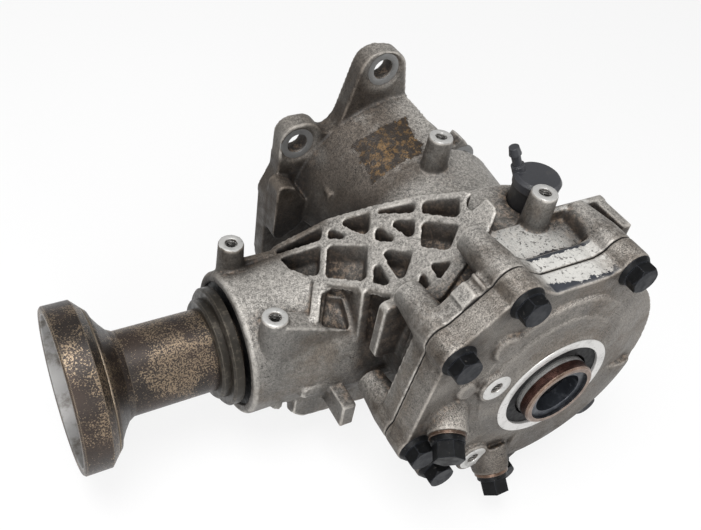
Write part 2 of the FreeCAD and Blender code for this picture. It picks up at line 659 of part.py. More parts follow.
def main_case():
    """The main case: barrel, nose, web, mounting flange, ribs, posts and all bores."""
    web_block, pockets = web()
    shapes = [case_body(), nose(), mounting_flange(), web_block]
    shapes += side_details()
    shapes += [post(*p) for p in POSTS]
    for x, z, _ in COVER_BOLTS:
        shapes.append(Part.makeCone(LUG_RADIUS, LUG_TAIL_RADIUS, LUG_TAIL_BACK - JOINT_BACK - JOINT_FLANGE,
                                    V(x, back(JOINT_BACK + JOINT_FLANGE), z), V(0, 1, 0)))
    body = joined(shapes)
    seat = REAR_BEARING_BACK + INPUT_BEARING_WIDTH
    x0, x1, start, end, bottom, top = SIDE_STEP
    step = box(x0, x1, back(start), back(end), bottom, top).cut(above_web(SHELF_THICKNESS))
    cuts = [pockets, step,
            rod_y(CHAMBER_RADIUS, FRONT_BEARING_BACK, CHAMBER_BACK),
            rod_y(INPUT_BEARING_RADIUS + 1, CHAMBER_BACK - 1, REAR_BEARING_BACK),
            rod_y(INPUT_BEARING_RADIUS, REAR_BEARING_BACK - 1, seat),
            rod_y(INPUT_BEARING_RADIUS - BEARING_STOP, seat - 1, seat + BEARING_STOP_LENGTH),
            rod_y(INPUT_SEAL_RADIUS, seat + BEARING_STOP_LENGTH - 1, CASE_DEPTH - PILOT_DEPTH + 1),
            rod_y(PILOT_RADIUS, CASE_DEPTH - PILOT_DEPTH, CASE_DEPTH + 1),
            rod_x(PINION_ROOM_RADIUS, HEAD_BEARING_X - 1, PINION_ROOM_END),
            rod_x(HEAD_BEARING_RADIUS, HEAD_BEARING_X - HEAD_BEARING_WIDTH, HEAD_BEARING_X),
            rod_x(TAIL_BEARING_RADIUS - BEARING_STOP, TAIL_BEARING_X - 1, HEAD_BEARING_X - HEAD_BEARING_WIDTH + 1),
            rod_x(TAIL_BEARING_RADIUS, TAIL_BEARING_X - TAIL_BEARING_WIDTH - 1, TAIL_BEARING_X),
            rod_x(PINION_SEAL_RADIUS, NOSE_RIM_X - 1, TAIL_BEARING_X - TAIL_BEARING_WIDTH)]
    for x, z, sunk in COVER_BOLTS:
        end = DOME_RISE + sunk + BOLT_LENGTH + BOLT_HOLE_SPARE
        cuts.append(rod_y(BOLT_RADIUS, JOINT_BACK - 1, end, x, z))
    for x, z in DOWEL_PLACES:
        cuts.append(rod_y(DOWEL_RADIUS, JOINT_BACK - 1, JOINT_BACK + DOWEL_LENGTH / 2, x, z))
    for x, distance, top, foot in POSTS:
        cuts.append(rod_z(POST_HOLE_RADIUS, top - POST_HOLE_DEPTH, top + 1, x, back(distance)))
    for x, z in EARS:
        front = CASE_DEPTH - FLANGE_THICKNESS
        cuts.append(rod_y(FLANGE_HOLE_RADIUS, front - 2, CASE_DEPTH + 1, x, z))
        cuts.append(rod_y(FLANGE_SPOT_RADIUS, front - 8, front + FLANGE_SPOT_DEPTH, x, z))
    cuts.append(rod_z(VENT_HOLE_RADIUS, VENT_SEAT - VENT_STEM - 3, VENT_SEAT + 1, VENT_X, back(VENT_BACK)))
    cuts.append(rod_z(BREATHER_RADIUS + FREE_GAP, VENT_SEAT, CAP_BOTTOM, VENT_X, back(VENT_BACK)))
    return body.cut(cuts)


# Bearings

def turned_z(profile):
    """A solid turned about Z from (radius, height) pairs."""
    return Part.Face(loop([V(r, 0, h) for r, h in profile])).revolve(V(0, 0, 0), V(0, 0, 1), 360)


def bearing(bore, outer, width, origin, direction):
    """A tapered roller bearing: outer race, inner race and rollers, opening along the direction."""
    tilt = math.radians(ROLLER_TILT)
    taper = math.radians(ROLLER_TAPER)
    middle = (bore + outer) / 2
    thin = 0.24 * (outer - bore)
    length = 0.68 * width
    low = 0.14 * width
    thick = thin + length * math.tan(taper)
    rise = length * math.sin(tilt)
    climb = length * math.cos(tilt)
    axis_low = middle - rise / 2
    axis_high = middle + rise / 2

    def race(gap, side, height):
        share = (height - low) / climb
        line = axis_low + (axis_high - axis_low) * share
        half = thin + (thick - thin) * share
        return line + side * (half + gap) / math.cos(tilt)

    cup_top = width * 0.86
    cup = turned_z([(outer, 0), (outer, cup_top), (race(FREE_GAP, 1, cup_top), cup_top),
                    (race(FREE_GAP, 1, 0), 0)])
    shelf = low + climb + thick * math.sin(tilt) + FREE_GAP
    rib = race(ROLLER_SLACK, -1, width) + 0.45 * thick
    cone = turned_z([(bore, 0), (race(ROLLER_SLACK, -1, 0), 0),
                     (race(ROLLER_SLACK, -1, shelf), shelf),
                     (rib, shelf), (rib, width), (bore, width)])
    count = int(2 * math.pi * axis_low / (2 * thin * ROLLER_SPACING))
    rollers = []
    for i in range(count):
        turn = 2 * math.pi * i / count
        way = V(math.cos(turn) * math.sin(tilt), math.sin(turn) * math.sin(tilt), math.cos(tilt))
        foot = V(math.cos(turn) * axis_low, math.sin(turn) * axis_low, low)
        rollers.append(Part.makeCone(thin, thick, length, foot, way))
    rollers = Part.makeCompound(rollers)
    return [placed(s, origin, direction) for s in (cup, cone, rollers)]


FRONT_BEARING = bearing(SHAFT_RADIUS, INPUT_BEARING_RADIUS, INPUT_BEARING_WIDTH,
                        V(0, back(FRONT_BEARING_BACK), 0), V(0, 1, 0))
REAR_BEARING = bearing(SHAFT_RADIUS, INPUT_BEARING_RADIUS, INPUT_BEARING_WIDTH,
                       V(0, back(REAR_BEARING_BACK + INPUT_BEARING_WIDTH), 0), V(0, -1, 0))
HEAD_BEARING = bearing(PINION_SHAFT_RADIUS, HEAD_BEARING_RADIUS, HEAD_BEARING_WIDTH,
                       V(HEAD_BEARING_X - HEAD_BEARING_WIDTH, OUTPUT_Y, OUTPUT_Z), V(1, 0, 0))
TAIL_BEARING = bearing(PINION_NECK_RADIUS, TAIL_BEARING_RADIUS, TAIL_BEARING_WIDTH,
                       V(TAIL_BEARING_X, OUTPUT_Y, OUTPUT_Z), V(-1, 0, 0))


# Seals

def seal_profile(outer, inner, start, width):
    """Half section of a lip seal: a cased outer wall, a web and a lip that runs on the shaft."""
    return [(outer, start), (outer, start + width), (outer - 2.5, start + width),
            (outer - 2.5, start + SEAL_LIP), (inner + 3.5, start + SEAL_LIP),
            (inner + 3.5, start + width * 0.8), (inner + RUNNING, start + width * 0.8),
            (inner + RUNNING, start + width * 0.35), (inner + 1.5, start)]


def cover_oil_seal():
    """The seal in the cover, round the front end of the input shaft."""
    return turned_y(seal_profile(SEAL_RADIUS, SHAFT_RADIUS, SEAL_SET, SEAL_WIDTH))


def input_oil_seal():
    """The seal on the transaxle side of the input shaft."""
    start = CASE_DEPTH - PILOT_DEPTH - FREE_GAP
    profile = seal_profile(INPUT_SEAL_RADIUS, SHAFT_RADIUS, 0, SEAL_WIDTH)
    return turned_y([(r, start - d) for r, d in profile])


def pinion_oil_seal():
    """The seal in the mouth of the nose, round the neck of the output cup."""
    profile = seal_profile(PINION_SEAL_RADIUS, CUP_NECK_RADIUS, 0, SEAL_WIDTH)
    return turned_x([(NOSE_RIM_X + SEAL_SET + d, r) for r, d in profile])


# Input shaft and ring gear

def input_shaft():
    """The hollow shaft that the transaxle drives and a half shaft passes through."""
    bearing_end = FRONT_BEARING_BACK + INPUT_BEARING_WIDTH
    pocket = -SHAFT_PROUD + INNER_RING_SET + INNER_RING_WIDTH
    shaft = turned_y([(INNER_RING_RADIUS, -SHAFT_PROUD), (SHAFT_RADIUS - 1, -SHAFT_PROUD),
                      (SHAFT_RADIUS, -SHAFT_PROUD + 1), (SHAFT_RADIUS, bearing_end),
                      (SHOULDER_RADIUS, bearing_end), (SHOULDER_RADIUS, RING_FLANGE_BACK - 6),
                      (SHOULDER_RADIUS + 6, RING_FLANGE_BACK), (RING_FLANGE_RADIUS, RING_FLANGE_BACK),
                      (RING_FLANGE_RADIUS, RING_BACK_FACE), (RING_BORE_RADIUS, RING_BACK_FACE),
                      (RING_BORE_RADIUS, RING_BACK_FACE + RING_PILOT_LENGTH),
                      (SHOULDER_RADIUS, RING_BACK_FACE + RING_PILOT_LENGTH),
                      (SHOULDER_RADIUS, REAR_BEARING_BACK), (SHAFT_RADIUS, REAR_BEARING_BACK),
                      (SHAFT_RADIUS, SHAFT_END_BACK - 1), (SHAFT_RADIUS - 1, SHAFT_END_BACK),
                      (SHAFT_BORE_RADIUS, SHAFT_END_BACK), (SHAFT_BORE_RADIUS, pocket),
                      (INNER_RING_RADIUS, pocket)])
    grooves = []
    half = math.pi * SHAFT_BORE_RADIUS / SPLINE_TEETH / 2
    for i in range(SPLINE_TEETH):
        groove = box(-half, half, back(SHAFT_END_BACK - SPLINE_LENGTH), back(SHAFT_END_BACK) + 1,
                     SHAFT_BORE_RADIUS - 2, SHAFT_BORE_RADIUS + SPLINE_DEPTH)
        groove.rotate(V(0, 0, 0), V(0, 1, 0), 360.0 * i / SPLINE_TEETH)
        grooves.append(groove)
    holes = [rod_y(RING_BOLT_RADIUS, RING_FLANGE_BACK - 1, RING_BACK_FACE + 1,
                   *polar(RING_BOLT_CIRCLE, 360.0 * i / RING_BOLTS)) for i in range(RING_BOLTS)]
    return shaft.cut(grooves + holes)


def shaft_inner_seal():
    """The dark ring inside the front end of the input shaft."""
    start = -SHAFT_PROUD + INNER_RING_SET
    return turned_y([(INNER_RING_BORE, start), (INNER_RING_RADIUS, start),
                     (INNER_RING_RADIUS, start + INNER_RING_WIDTH),
                     (INNER_RING_BORE, start + INNER_RING_WIDTH)])


def ring_gear_bolts():
    """The bolts that hold the ring gear to the shaft flange."""
    bolts = []
    for i in range(RING_BOLTS):
        x, z = polar(RING_BOLT_CIRCLE, 360.0 * i / RING_BOLTS)
        head = hexagon_y(RING_BOLT_FLATS, RING_FLANGE_BACK - RING_BOLT_HEAD, RING_FLANGE_BACK, x, z)
        shank = rod_y(RING_BOLT_RADIUS, RING_FLANGE_BACK, RING_FLANGE_BACK + RING_BOLT_GRIP, x, z)
        bolts.append(joined([head, shank]))
    return Part.makeCompound(bolts)


# The pair meets where the ring's mesh circle crosses the height of the output axis.
OFFSET_ANGLE = math.asin(OUTPUT_DROP / RING_MESH_RADIUS)
PINION_SPIRAL = math.radians(RING_SPIRAL) + OFFSET_ANGLE
PINION_RADIUS = (RING_MESH_RADIUS * PINION_TEETH / RING_TEETH
                 * math.cos(math.radians(RING_SPIRAL)) / math.cos(PINION_SPIRAL))
MESH_BACK = OUTPUT_BACK - PINION_RADIUS
MESH_X = -RING_MESH_RADIUS * math.cos(OFFSET_ANGLE)
TAPER = math.tan(math.radians(PINION_TAPER))
FACE_FALL = TAPER / math.cos(OFFSET_ANGLE)


def ring_face(radius, lift):
    """Distance behind the bore face of a point on the ring gear's toothed cone."""
    return MESH_BACK - FACE_FALL * (radius - RING_MESH_RADIUS) + lift


def ring_section(radius, turn):
    """Cross-section of one ring tooth at a radius."""
    swing = math.tan(math.radians(RING_SPIRAL)) * math.log(radius / RING_MESH_RADIUS)
    angle = math.pi + OFFSET_ANGLE + turn + swing
    out = V(math.cos(angle), 0, math.sin(angle))
    side = V(-math.sin(angle), 0, math.cos(angle))
    pitch = 2 * math.pi * radius / RING_TEETH
    low = ring_face(radius, -TOOTH_DEPTH / 2 - 0.5)
    high = ring_face(radius, TOOTH_DEPTH / 2 - ROOT_CLEARANCE)
    wide = pitch * (TOOTH_SHARE + 0.2) / 2
    narrow = pitch * (TOOTH_SHARE - 0.16) / 2
    return loop([out * radius + side * wide + V(0, back(low), 0),
                 out * radius + side * narrow + V(0, back(high), 0),
                 out * radius - side * narrow + V(0, back(high), 0),
                 out * radius - side * wide + V(0, back(low), 0)])


def ring_gear():
    """The ring gear, its teeth facing the transaxle."""
    root = -TOOTH_DEPTH / 2
    blank = turned_y([(RING_BORE_RADIUS, RING_BACK_FACE), (RING_RADIUS, RING_BACK_FACE),
                      (RING_RADIUS, ring_face(RING_RADIUS, root)),
                      (RING_INNER_RADIUS, ring_face(RING_INNER_RADIUS, root)),
                      (RING_BORE_RADIUS + 2, ring_face(RING_INNER_RADIUS, root)),
                      (RING_BORE_RADIUS, ring_face(RING_INNER_RADIUS, root) - 2)])
    teeth = []
    for i in range(RING_TEETH):
        turn = 2 * math.pi * i / RING_TEETH
        sections = [ring_section(r, turn) for r in (RING_INNER_RADIUS, RING_MESH_RADIUS, RING_RADIUS)]
        teeth.append(Part.makeLoft(sections, True, True))
    holes = [rod_y(RING_BOLT_RADIUS, RING_BACK_FACE - 1, RING_FLANGE_BACK + RING_BOLT_GRIP + 0.5,
                   *polar(RING_BOLT_CIRCLE, 360.0 * i / RING_BOLTS)) for i in range(RING_BOLTS)]
    return joined([blank] + teeth).cut(holes)


# Pinion

PINION_START = MESH_X - PINION_FACE / 2
PINION_END = MESH_X + PINION_FACE / 2


def pinion_radius(x):
    """Pitch radius of the pinion at a place along its axis."""
    return PINION_RADIUS - TAPER * (x - MESH_X)


def pinion_section(x, turn):
    """Cross-section of one pinion tooth at a place along its axis."""
    radius = pinion_radius(x)
    angle = turn - math.tan(PINION_SPIRAL) * (x - MESH_X) / PINION_RADIUS
    out = V(0, -math.cos(angle), -math.sin(angle))
    side = V(0, math.sin(angle), -math.cos(angle))
    pitch = 2 * math.pi * radius / PINION_TEETH
    low = radius - TOOTH_DEPTH / 2 - 0.5
    high = radius + TOOTH_DEPTH / 2 - ROOT_CLEARANCE
    wide = pitch * (TOOTH_SHARE + 0.16) / 2
    narrow = pitch * (TOOTH_SHARE - 0.18) / 2
    centre = V(x, OUTPUT_Y, OUTPUT_Z)
    return loop([centre + out * low + side * wide, centre + out * high + side * narrow,
                 centre + out * high - side * narrow, centre + out * low - side * wide])


def drive_pinion():
    """The pinion and its shaft in one piece, with splines and a thread for the cup."""
    root = TOOTH_DEPTH / 2
    rear = HEAD_BEARING_X + SHIM_THICKNESS
    body = turned_x([(THREAD_END_X, 0), (THREAD_END_X, THREAD_RADIUS - 1),
                     (THREAD_END_X + 1, THREAD_RADIUS), (SPLINE_END_X, THREAD_RADIUS),
                     (SPLINE_END_X, PINION_NECK_RADIUS - SPLINE_DEPTH),
                     (SPLINE_START_X, PINION_NECK_RADIUS - SPLINE_DEPTH),
                     (SPLINE_START_X, PINION_NECK_RADIUS),
                     (HEAD_BEARING_X - HEAD_BEARING_WIDTH - 2, PINION_NECK_RADIUS),
                     (HEAD_BEARING_X - HEAD_BEARING_WIDTH, PINION_SHAFT_RADIUS),
                     (rear, PINION_SHAFT_RADIUS), (rear, pinion_radius(PINION_START) - root),
                     (PINION_START, pinion_radius(PINION_START) - root),
                     (PINION_END, pinion_radius(PINION_END) - root), (PINION_END, 12.0),
                     (PINION_END - 4, 8.0), (PINION_END - 4, 0)])
    stations = [PINION_START + PINION_FACE * i / 3 for i in range(4)]
    teeth = []
    for i in range(PINION_TEETH):
        turn = 2 * math.pi * (i + 0.5) / PINION_TEETH
        teeth.append(Part.makeLoft([pinion_section(x, turn) for x in stations], True, True))
    ridges = []
    half = math.pi * PINION_NECK_RADIUS / SPLINE_TEETH / 2
    for i in range(SPLINE_TEETH):
        ridge = box(SPLINE_END_X, SPLINE_START_X, OUTPUT_Y - half, OUTPUT_Y + half,
                    OUTPUT_Z + PINION_NECK_RADIUS - SPLINE_DEPTH - 1, OUTPUT_Z + PINION_NECK_RADIUS - 0.1)
        ridge.rotate(V(0, OUTPUT_Y, OUTPUT_Z), V(1, 0, 0), 360.0 * i / SPLINE_TEETH)
        ridges.append(ridge)
    return joined([body] + teeth + ridges)


def tube_x(outer, inner, start, end):
    """A plain ring or sleeve on the output axis."""
    return rod_x(outer, start, end).cut(rod_x(inner, start - 1, end + 1))


def pinion_shim():
    """The shim that sets how deep the pinion meshes."""
    return tube_x(PINION_SHAFT_RADIUS + 6, PINION_SHAFT_RADIUS, HEAD_BEARING_X,
                  HEAD_BEARING_X + SHIM_THICKNESS)


def crush_sleeve():
    """The thin bulged sleeve between the pinion's inner races."""
    start = TAIL_BEARING_X
    end = HEAD_BEARING_X - HEAD_BEARING_WIDTH
    middle = (start + end) / 2
    bore = PINION_SHAFT_RADIUS + 0.2
    wall = 2.2
    return turned_x([(start, bore), (start, bore + wall), (middle - 6, bore + wall),
                     (middle, bore + wall + 3), (middle + 6, bore + wall), (end, bore + wall),
                     (end, bore), (middle + 6, bore), (middle, bore + 3), (middle - 6, bore)])


# Output cup

def output_cup():
    """The steel cup that carries the propeller shaft joint, with its long neck."""
    back_edge = CUP_RIM_X + CUP_WIDTH
    floor = CUP_RIM_X + CUP_BORE_DEPTH
    neck = back_edge + CUP_TAPER
    return turned_x([(CUP_RIM_X, CUP_BORE_RADIUS + 0.8), (CUP_RIM_X, CUP_RADIUS - 1.0),
                     (CUP_RIM_X + 1.0, CUP_RADIUS), (back_edge, CUP_RADIUS),
                     (back_edge + 4.5, CUP_RADIUS - 5.0), (neck - 3.5, CUP_NECK_RADIUS + 6.5),
                     (neck, CUP_NECK_RADIUS + 2.0), (neck + 3.5, CUP_NECK_RADIUS),
                     (NECK_END_X - 1.0, CUP_NECK_RADIUS), (NECK_END_X, CUP_NECK_RADIUS - 1.0),
                     (NECK_END_X, PINION_NECK_RADIUS), (NUT_SEAT_X, PINION_NECK_RADIUS),
                     (NUT_SEAT_X, NUT_POCKET_RADIUS), (floor, NUT_POCKET_RADIUS),
                     (floor, CUP_BORE_RADIUS - 3), (floor - 3, CUP_BORE_RADIUS),
                     (CUP_RIM_X + 0.8, CUP_BORE_RADIUS)])


def slinger(start, width, radius):
    """A pressed dust ring on the neck of the cup."""
    return turned_x([(start, CUP_NECK_RADIUS), (start, radius - 1.2), (start + 1.2, radius),
                     (start + width, radius), (start + width, CUP_NECK_RADIUS)])


def pinion_nut():
    """The nut that holds the cup on the pinion shaft, with its washer."""
    start = NUT_SEAT_X
    radius = NUT_FLATS / math.sqrt(3)
    corners = [V(start - NUT_HEIGHT, OUTPUT_Y + radius * math.cos(math.radians(60 * i)),
                 OUTPUT_Z + radius * math.sin(math.radians(60 * i))) for i in range(6)]
    nut = Part.Face(loop(corners)).extrude(V(NUT_HEIGHT, 0, 0))
    return nut.cut(rod_x(THREAD_RADIUS, start - NUT_HEIGHT - 1, start + 1))


# Breather

def breather_barb():
    """The hose barb that leaves the breather's cap."""
    way = V(*HOSE_WAY).normalize()
    base = V(VENT_X + HOSE_START[0], back(VENT_BACK) + HOSE_START[1], CAP_BOTTOM + 3)
    barb = Part.makeCylinder(HOSE_RADIUS, HOSE_REACH, base, way)
    collar = Part.makeCylinder(HOSE_RADIUS + 1.2, HOSE_COLLAR, base, way)
    tip = Part.makeCone(HOSE_RADIUS + 0.9, HOSE_RADIUS + 0.2, 5.0, base + way * (HOSE_REACH - 3), way)
    return joined([barb, collar, tip])


def breather_body():
    """The plastic breather: a stem in the case and a round body."""
    y = back(VENT_BACK)
    stem = rod_z(VENT_HOLE_RADIUS, VENT_SEAT - VENT_STEM, VENT_SEAT, VENT_X, y)
    return joined([stem, rod_z(BREATHER_RADIUS, VENT_SEAT, CAP_BOTTOM, VENT_X, y)])


def breather_cap():
    """The round cap of the breather, with its hose barb."""
    y = back(VENT_BACK)
    cap = Part.makeCone(CAP_RADIUS - 0.6, CAP_RADIUS, CAP_TOP - CAP_BOTTOM - 2, V(VENT_X, y, CAP_BOTTOM))
    lid = Part.makeCone(CAP_RADIUS, CAP_RADIUS - 1.6, 2.0, V(VENT_X, y, CAP_TOP - 2))
    return joined([cap, lid, breather_barb()])


PARTS = {
    "main_case": main_case(),
    "side_cover": side_cover(),
    "cover_bolts": cover_bolts(),
    "dowel_pins": dowel_pins(),
    "fill_plug": plug(FILL_BOSS),
    "fill_plug_washer": plug_washer(FILL_BOSS),
    "drain_plug": plug(DRAIN_BOSS),
    "drain_plug_washer": plug_washer(DRAIN_BOSS),
    "breather_body": breather_body(),
    "breather_cap": breather_cap(),
    "cover_oil_seal": cover_oil_seal(),
    "input_oil_seal": input_oil_seal(),
    "pinion_oil_seal": pinion_oil_seal(),
    "input_front_cup": FRONT_BEARING[0],
    "input_front_cone": FRONT_BEARING[1],
    "input_front_rollers": FRONT_BEARING[2],
    "input_rear_cup": REAR_BEARING[0],
    "input_rear_cone": REAR_BEARING[1],
    "input_rear_rollers": REAR_BEARING[2],
    "pinion_head_cup": HEAD_BEARING[0],
    "pinion_head_cone": HEAD_BEARING[1],
    "pinion_head_rollers": HEAD_BEARING[2],
    "pinion_tail_cup": TAIL_BEARING[0],
    "pinion_tail_cone": TAIL_BEARING[1],
    "pinion_tail_rollers": TAIL_BEARING[2],
    "input_shaft": input_shaft(),
    "shaft_inner_seal": shaft_inner_seal(),
    "ring_gear": ring_gear(),
    "ring_gear_bolts": ring_gear_bolts(),
    "drive_pinion": drive_pinion(),
    "pinion_shim": pinion_shim(),
    "crush_sleeve": crush_sleeve(),
    "output_cup": output_cup(),
    "small_slinger": slinger(SLINGER_X, SLINGER_SMALL_WIDTH, SLINGER_SMALL_RADIUS),
    "large_slinger": slinger(SLINGER_X + SLINGER_SMALL_WIDTH, SLINGER_LARGE_WIDTH, SLINGER_LARGE_RADIUS),
    "pinion_nut": pinion_nut(),
}

for name, shape in PARTS.items():
    shape.exportStep(os.path.join("parts", name + ".step"))
    print(name, shape.isValid(), len(shape.Solids), round(shape.Volume / 1000, 1))
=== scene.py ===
"""Looks of a right-angle transfer case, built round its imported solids."""

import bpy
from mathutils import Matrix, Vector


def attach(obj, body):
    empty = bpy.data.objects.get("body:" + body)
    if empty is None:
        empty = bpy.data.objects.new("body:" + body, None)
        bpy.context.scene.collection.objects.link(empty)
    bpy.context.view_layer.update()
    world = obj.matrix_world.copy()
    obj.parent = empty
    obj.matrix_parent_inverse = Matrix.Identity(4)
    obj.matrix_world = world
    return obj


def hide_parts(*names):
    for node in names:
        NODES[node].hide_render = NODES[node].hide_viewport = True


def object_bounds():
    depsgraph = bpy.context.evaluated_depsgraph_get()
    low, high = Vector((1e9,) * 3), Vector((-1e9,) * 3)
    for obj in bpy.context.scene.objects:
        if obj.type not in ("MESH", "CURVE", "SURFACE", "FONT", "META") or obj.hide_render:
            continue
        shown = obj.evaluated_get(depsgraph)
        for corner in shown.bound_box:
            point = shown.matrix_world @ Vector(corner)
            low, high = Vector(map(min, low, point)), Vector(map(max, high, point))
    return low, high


bl_info = {
    "name": "Transfer Case Looks",
    "version": (1, 0, 0),
    "blender": (4, 5, 0),
    "location": "3D View > Sidebar > Transfer Case",
    "description": "Castings, steel parts, seals and stage of a right-angle transfer case",
    "category": "Object",
}

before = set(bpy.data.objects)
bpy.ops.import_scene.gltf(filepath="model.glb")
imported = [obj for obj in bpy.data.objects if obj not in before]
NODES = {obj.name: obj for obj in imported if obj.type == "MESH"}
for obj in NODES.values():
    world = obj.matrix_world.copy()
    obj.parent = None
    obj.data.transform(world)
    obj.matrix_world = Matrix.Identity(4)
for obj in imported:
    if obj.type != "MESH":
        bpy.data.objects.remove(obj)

import math

import bpy
from mathutils import Matrix, Vector

CAD_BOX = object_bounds()
PHOTO_WIDTH = 701
SENSOR_WIDTH = 36.0
UP = (0.0, 0.0, 1.0)
FRONT = (0.0, -1.0, 0.0)

# Places of the machined faces, in metres
JOINT_Y = -0.183
BORE_Y = -0.2052
SHAFT_FRONT_Y = -0.212
OUTPUT_AXIS = (-0.088, -0.027)
POST_TOPS = ((-0.1364, -0.0634, 0.0290), (-0.1335, -0.1188, 0.0220), (-0.0073, -0.0683, 0.0801),
             (0.0047, -0.1465, 0.0941))
BOSS_FRONTS = ((-0.0447, -0.2042, 0.0188), (-0.0394, -0.2042, -0.0495))
EAR_FACES = ((-0.0173, -0.0117, 0.0936), (-0.0715, -0.0117, 0.0490), (-0.0720, -0.0117, -0.0580),
             (0.0380, -0.0117, -0.0740), (0.0660, -0.0117, 0.0080))
# x and z of the bolts of the joint
LUG_PLACES = ((0.0320, 0.0740), (-0.0410, 0.0760), (-0.0730, 0.0470), (-0.0825, -0.0215),
              (-0.0630, -0.0510), (-0.0070, -0.0830), (0.0567, -0.0555))
# Radius of the cup's bright bore, and the x where it ends
CUP_BORE_RADIUS = 0.0430
CUP_BORE_X = -0.2276
# The pale field on the housing's flat top, and the y of its two painted edges
TOP_Z = 0.0740
TOP_X = -0.001
TOP_FRONT_Y = -0.1985
TOP_REAR_Y = -0.1712

# Turned rings: inner and outer radius, height, and width of the broken corners
POST_RING = (0.0035, 0.0072, 0.003, 0.0008)
BOSS_RING = (0.0037, 0.0090, 0.003, 0.0006)
BORE_RING = (0.0310, 0.0369, 0.003, 0.0005)
EAR_RING = (0.0068, 0.0118, 0.0012, 0.0003)
POST_THREAD = (0.0027, 0.0036, 0.010, 0.0002)
BOSS_THREAD = (0.0029, 0.0038, 0.009, 0.0002)
SEAL_WIRE = (0.0266, 0.0271, 0.0008, 0.0002)
RING_STEPS = 64
# How far below their faces the threads and the seal's wire begin
THREAD_DEPTH = 0.0012
WIRE_DEPTH = 0.0042

# The flare ends at ear 1: radius, y and angle of the corners of what the mould leaves out beside it
FLARE_GAP = ((0.0602, -0.0580, 78.0), (0.0522, -0.0428, 82.0), (0.0512, -0.0380, 83.0),
             (0.0512, -0.0134, 88.0), (0.0850, -0.0134, 88.0), (0.0850, -0.0580, 78.0))
FLARE_GAP_ANGLE = 100.0
FLARE_GAP_STEPS = 24
# x and z of the corners of what is left out of the flange there, and its first and last y
FLANGE_GAP = ((0.004, 0.070), (0.009, 0.064), (0.018, 0.055), (0.030, 0.045), (0.044, 0.0335),
              (0.0565, 0.0205), (0.070, 0.040), (0.040, 0.080), (0.008, 0.080))
FLANGE_GAP_START = -0.0136
FLANGE_GAP_END = 0.001
# Corners of the rib on the nose below the lattice, and of the pocket beside it
NOSE_RIB = ((-0.1022, -0.1019, 0.0208), (-0.0972, -0.1045, 0.0228), (-0.1132, -0.1205, 0.0128),
            (-0.1082, -0.1235, 0.0133), (-0.1022, -0.1019, 0.0120), (-0.0972, -0.1045, 0.0120),
            (-0.1132, -0.1205, 0.0), (-0.1082, -0.1235, 0.0))
NOSE_POCKET = ((-0.0965, -0.1080, 0.0175), (-0.0885, -0.1120, 0.0200), (-0.0885, -0.1260, 0.0250),
               (-0.1060, -0.1240, 0.0250), (-0.0965, -0.1080, 0.0095), (-0.0885, -0.1120, 0.0080),
               (-0.0885, -0.1260, -0.0020), (-0.1060, -0.1240, 0.0020))

# Distances within which corners of a mesh are merged
CASTING_MERGE = 0.00001
RING_MERGE = 0.000001

FLOOR_SIZE = 8.0
FLOOR_DROP = 0.002
# Lamps: name, place from the object's middle, size, and power as a share of the key light
LAMPS = (("key_lamp", (-0.25, -0.10, 0.85), 0.55, 1.0),
         ("fill_lamp", (0.75, -0.75, 0.35), 0.8, 0.35),
         ("front_lamp", (-0.50, -0.80, 0.42), 0.7, 1.1))


# Settings

class CastingSettings(bpy.types.PropertyGroup):
    """Rounding and colours of the two castings"""
    grain: bpy.props.FloatProperty(
        name="Grain", description="Size of the steps in which the castings are rounded",
        default=0.0009, unit="LENGTH")
    rounding: bpy.props.IntProperty(
        name="Rounding", description="Passes that round the edges and corners of the castings", default=7)
    most_faces: bpy.props.IntProperty(
        name="Most faces", description="Triangles that a rounded casting may keep", default=190000)
    aluminium: bpy.props.FloatVectorProperty(
        name="Aluminium", description="Colour of the weathered case", subtype="COLOR",
        size=3, default=(0.134, 0.127, 0.117))
    cover: bpy.props.FloatVectorProperty(
        name="Cover", description="Colour of the side cover", subtype="COLOR",
        size=3, default=(0.128, 0.118, 0.106))
    grime_and_shade: bpy.props.FloatVectorProperty(
        name="Grime and shade", description="Colour of the oil and dirt in the corners", subtype="COLOR",
        size=3, default=(0.020, 0.014, 0.010))


class PatchSettings(bpy.types.PropertyGroup):
    """What is left of the patch on the flare and of the paint along the joint"""
    middle: bpy.props.FloatVectorProperty(
        name="Middle", description="Middle of the old patch on the flare", subtype="TRANSLATION",
        size=2, default=(-0.0245, -0.0438))
    half_size: bpy.props.FloatVectorProperty(
        name="Half size", description="Half the length and width of the old patch", subtype="TRANSLATION",
        size=2, default=(0.0185, 0.0142))
    amber: bpy.props.FloatVectorProperty(
        name="Amber", description="Colour that is left of the old patch", subtype="COLOR",
        size=3, default=(0.125, 0.074, 0.028))
    slate: bpy.props.FloatVectorProperty(
        name="Slate", description="Colour of the paint left along the joint", subtype="COLOR",
        size=3, default=(0.040, 0.044, 0.054))


class SteelSettings(bpy.types.PropertyGroup):
    """Colours and edges of the steel parts"""
    browned: bpy.props.FloatVectorProperty(
        name="Browned steel", description="Colour of the cup and its neck", subtype="COLOR",
        size=3, default=(0.023, 0.0172, 0.0142))
    black: bpy.props.FloatVectorProperty(
        name="Black oxide", description="Colour of the bolts and plugs", subtype="COLOR",
        size=3, default=(0.0025, 0.0027, 0.0031))
    edge: bpy.props.FloatProperty(
        name="Edge", description="Width of the softened edges of the steel parts",
        default=0.0005, unit="LENGTH")


